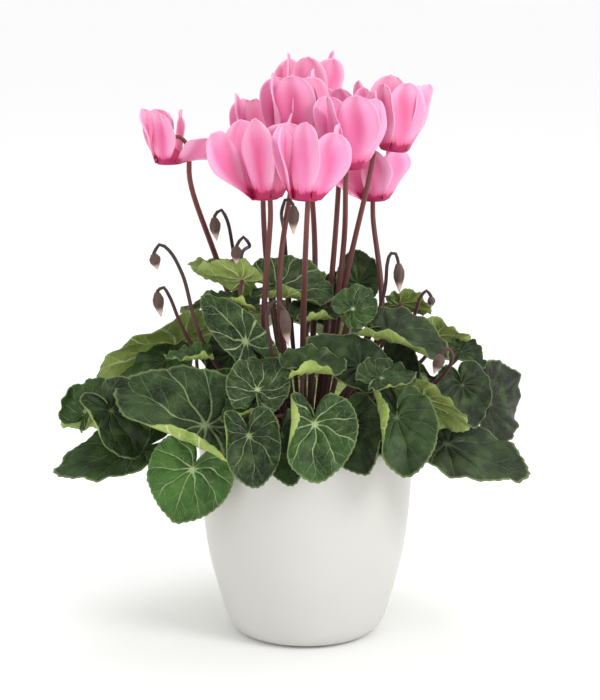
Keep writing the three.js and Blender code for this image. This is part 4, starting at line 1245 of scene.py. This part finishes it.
# %% Leaf stalks
LIFTS = (0, 8, -6, 16, -12)
ASIDES = (0, 7, -7, 14, -14, 21, -21)
PETIOLE_RADIUS = 1.4
PETIOLE_GAP = 0.55
PETIOLE_ROOT_SHARE = 0.25
PETIOLE_ROOT_RING = (6, 25)
PETIOLE_NECK = 11
PETIOLE_NECK_BACK = 2
PETIOLE_MIDDLE = 0.55
PETIOLE_STEPS = 3
FINE_PETIOLE_STEPS = 22
OVER_THE_RIM = 8


def petiole_way(leaf, lift, aside):
    azimuth = math.atan2(leaf["navel"][1], leaf["navel"][0])
    least, most = PETIOLE_ROOT_RING
    ring = min(max(math.hypot(leaf["navel"][0], leaf["navel"][1]) * PETIOLE_ROOT_SHARE, least), most)
    root = np.array([ring * math.cos(azimuth), ring * math.sin(azimuth), corm_top(ring) - ROOT_DEPTH])
    end = leaf["navel"] - leaf["up"] * (BLADE_THICKNESS / 2 + PETIOLE_GAP)
    below = end - leaf["up"] * PETIOLE_NECK - leaf["along"] * PETIOLE_NECK_BACK
    middle = root + (below - root) * PETIOLE_MIDDLE
    middle[2] = max(middle[2], RIM_HEIGHT + OVER_THE_RIM) + lift
    middle = middle + np.array([-math.sin(azimuth), math.cos(azimuth), 0]) * aside
    return [root, middle, below, end]


def crown_tree():
    """The crown's points, ordered so that the nearest one is found fast."""
    points = points_of(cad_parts["crown"])
    tree = KDTree(len(points))
    for k, point in enumerate(points):
        tree.insert(point, k)
    tree.balance()
    return tree


def petiole_route(leaf, tree):
    def distance(way):
        return sum(tree.find(point * MM)[2] for point in smooth_chain(way, PETIOLE_STEPS)[1:-1])

    way = min((petiole_way(leaf, lift, aside) for aside in ASIDES for lift in LIFTS), key=distance)
    way[-1] = way[-1] + leaf["up"] * (PETIOLE_GAP - 0.1)
    route = smooth_chain(way, FINE_PETIOLE_STEPS)
    return route, np.linspace(PETIOLE_RADIUS * 1.15, PETIOLE_RADIUS * 0.85, len(route))


tree = crown_tree()
petioles = rods("leaf_stalks", [petiole_route(leaf, tree) for group in GROUPS for leaf in group], sides=2)
finish(petioles, "petiole")
print("Stalk faces:", len(petioles.data.polygons))


# %% [markdown]
# The corm is a flat, slightly lumpy ball, half sunk in the mix.

# %% Corm
def corm():
    piece = fresh(bpy.ops.mesh.primitive_uv_sphere_add, segments=96, ring_count=48, radius=CORM_RADIUS * MM)
    points = points_of(piece) / MM
    azimuth = np.arctan2(points[:, 1], points[:, 0])
    lumps = 1 + 0.012 * np.sin(5 * azimuth + 1) + 0.01 * np.sin(13 * azimuth + points[:, 2] * 0.4)
    points[:, :2] *= lumps[:, None]
    points[:, 2] = CORM_MIDDLE + points[:, 2] * CORM_HALF_HEIGHT / CORM_RADIUS
    set_points(piece, points)
    piece.name = "corm"
    return piece


corm_piece = finish(corm(), "corm", "crown")
print("Corm faces:", len(corm_piece.data.polygons))


# %% [markdown]
# ## Buds
#
# A closed bud hangs from a hook: a drop of five petals rolled round one another, which shows as slanting
# folds. One drop is a sphere drawn out to a point and twisted; each bud is a copy at its own size.

# %% Buds, in millimetres
BUDS = [
    dict(size=11, lean=[0.25, 0],
         points=[[-66, -18, 196], [-78, -20, 239], [-86, -20, 254], [-92, -20, 258], [-96, -20, 252]]),
    dict(size=17, lean=[0.15, 0], points=[[-76, -8, 196], [-87, -10, 223], [-91, -10, 229], [-95, -10, 226]]),
    dict(size=24, lean=[0.12, 0],
         points=[[-22, -42, 196], [-24, -45, 219], [-19, -47, 227], [-14, -47, 222]]),
    dict(size=20, lean=[0.05, 0],
         points=[[50, 4, 222], [52, 0, 243], [54, 0, 249], [57, 0, 249], [59, 0, 243]]),
    dict(size=8, lean=[0, 0], points=[[70, 12, 206], [74, 10, 219], [78, 10, 223], [81, 10, 219]]),
    dict(size=14, lean=[-0.35, 0], points=[[86, -38, 178], [91, -45, 192], [88, -46, 197], [84, -46, 193]]),
    dict(size=16, lean=[0.1, 0],
         points=[[-42, 36, 214], [-47, 22, 246], [-51, 10, 270], [-55, 10, 276], [-59, 10, 271]]),
    dict(size=12, lean=[0, 0],
         points=[[-42, 34, 214], [-42, 22, 244], [-36, -12, 257], [-40, -15, 262], [-44, -15, 256]]),
    dict(size=19, lean=[0, 0],
         points=[[-12, 40, 226], [-14, 30, 256], [-15, -14, 280], [-12, -15, 287], [-8, -15, 282]]),
]
BUD_RADIUS = 4
BUD_SLIMNESS = 0.36
SLIMMER = 0.88
BUD_FOLDS = 5
BUD_OUTLINE = ([0, 0.08, 0.3, 0.5, 0.75, 0.92, 1], [0, 0.56, 1, 0.94, 0.55, 0.2, 0])
BUD_ROOT_SHARE = 0.25
BUD_ROOT_RING = 20
BUD_ROOT_DEPTH = 5
BUD_ROUTE_STEPS = 48


def bud_drop(blank, bud):
    radius = min(BUD_RADIUS, bud["size"] * BUD_SLIMNESS) * SLIMMER
    sphere = points_of(blank)
    share = np.arccos(np.clip(sphere[:, 2], -1, 1)) / math.pi
    angle = np.arctan2(sphere[:, 1], sphere[:, 0])
    folds = 1 + 0.09 * np.sin(BUD_FOLDS * angle + 7 * share) * np.sin(math.pi * share)
    ring = radius * np.interp(share, *BUD_OUTLINE) * folds
    down = unit(np.array([*bud["lean"], -1.0]))
    side = unit(np.cross(down, [0, 1, 0]))
    points = np.array(bud["points"][-1], float) + line(share * bud["size"] * 1.02 - 0.6, down)
    points += line(ring * np.cos(angle), side) + line(ring * np.sin(angle), np.cross(side, down))
    drop = copy_of(blank, "bud")
    set_points(drop, points)
    set_uv(drop, angle / math.pi, share)
    return drop


def bud_route(bud):
    x, y, _ = bud["points"][0]
    root = np.array([x * BUD_ROOT_SHARE, y * BUD_ROOT_SHARE, corm_top(BUD_ROOT_RING) - BUD_ROOT_DEPTH])
    route = smooth_chain([root, *bud["points"]], BUD_ROUTE_STEPS)
    return route, np.linspace(HOOK_RADIUS + 0.4, HOOK_RADIUS - 0.1, len(route))


blank = fresh(bpy.ops.mesh.primitive_uv_sphere_add, segments=40, ring_count=28, radius=1)
drops = join([bud_drop(blank, bud) for bud in BUDS], "buds")
finish(drops, "bud")
face_outwards(drops)
bpy.data.objects.remove(blank)
finish(rods("bud_stalks", [bud_route(bud) for bud in BUDS]), "hook")
print("Buds:", len(BUDS), "faces:", len(drops.data.polygons))


# %% [markdown]
# ## Studio
#
# The photograph is a plain white studio shot with a long lens from a little above. The camera stands where
# that view is the same: 1.3 m away, 12 degrees above level. A soft light comes from the upper right and
# weaker ones from the left and from above, and the floor is plain and pale.

# %% Camera
CAMERA_DISTANCE = 1.3
CAMERA_ELEVATION = math.radians(12)
CAMERA_TARGET = (-0.0039, 0, 0.186)
FOCAL_PIXELS = 2015.5
IMAGE_WIDTH = 600
SENSOR_WIDTH = 36


def add_camera():
    data = bpy.data.cameras.new("studio_camera")
    data.sensor_fit = "HORIZONTAL"
    data.sensor_width = SENSOR_WIDTH
    data.lens = FOCAL_PIXELS * SENSOR_WIDTH / IMAGE_WIDTH
    camera = linked("studio_camera", data)
    away = Vector((0, -math.cos(CAMERA_ELEVATION), math.sin(CAMERA_ELEVATION))) * CAMERA_DISTANCE
    camera.location = Vector(CAMERA_TARGET) + away
    camera.rotation_euler = (math.pi / 2 - CAMERA_ELEVATION, 0, 0)
    bpy.context.scene.camera = camera


add_camera()
print("Camera lens, mm:", round(bpy.context.scene.camera.data.lens, 1))


# %% Lights, floor and background
LIGHT_TARGET = Vector((0, 0, 0.2))
WORLD_STRENGTH = 0.98
FLOOR_SIZE = 60
FLOOR_DEPTH = 0.6


def area_light(name, place, size, power):
    data = bpy.data.lights.new(name, "AREA")
    data.shape = "DISK"
    data.size = size
    data.energy = power
    lamp = linked(name, data)
    lamp.location = place
    lamp.rotation_euler = (LIGHT_TARGET - lamp.location).to_track_quat("-Z", "Y").to_euler()


def white_world():
    bpy.context.scene.view_settings.view_transform = "Standard"
    world = bpy.data.worlds.new("studio")
    bpy.context.scene.world = world
    world.use_nodes = True
    background = world.node_tree.nodes["Background"]
    background.inputs["Color"].default_value = (1, 1, 1, 1)
    background.inputs["Strength"].default_value = WORLD_STRENGTH


def studio_floor():
    floor = fresh(bpy.ops.mesh.primitive_plane_add, size=FLOOR_SIZE, location=(0, 0, -FLOOR_DEPTH * MM))
    floor.name = "studio_floor"
    floor.data.materials.append(Paint("studio_floor", 0.8).done("fefefe"))


area_light("key_light", (1.3, -1.1, 1.3), 0.7, 15)
area_light("fill_light", (-1.4, -1.2, 0.9), 1.2, 1)
area_light("top_light", (0.1, 0.4, 1.8), 1.0, 6)
white_world()
studio_floor()
print("Lights:", [lamp.name for lamp in bpy.data.lights])

# %% Update the scene and finish
bpy.context.view_layer.update()
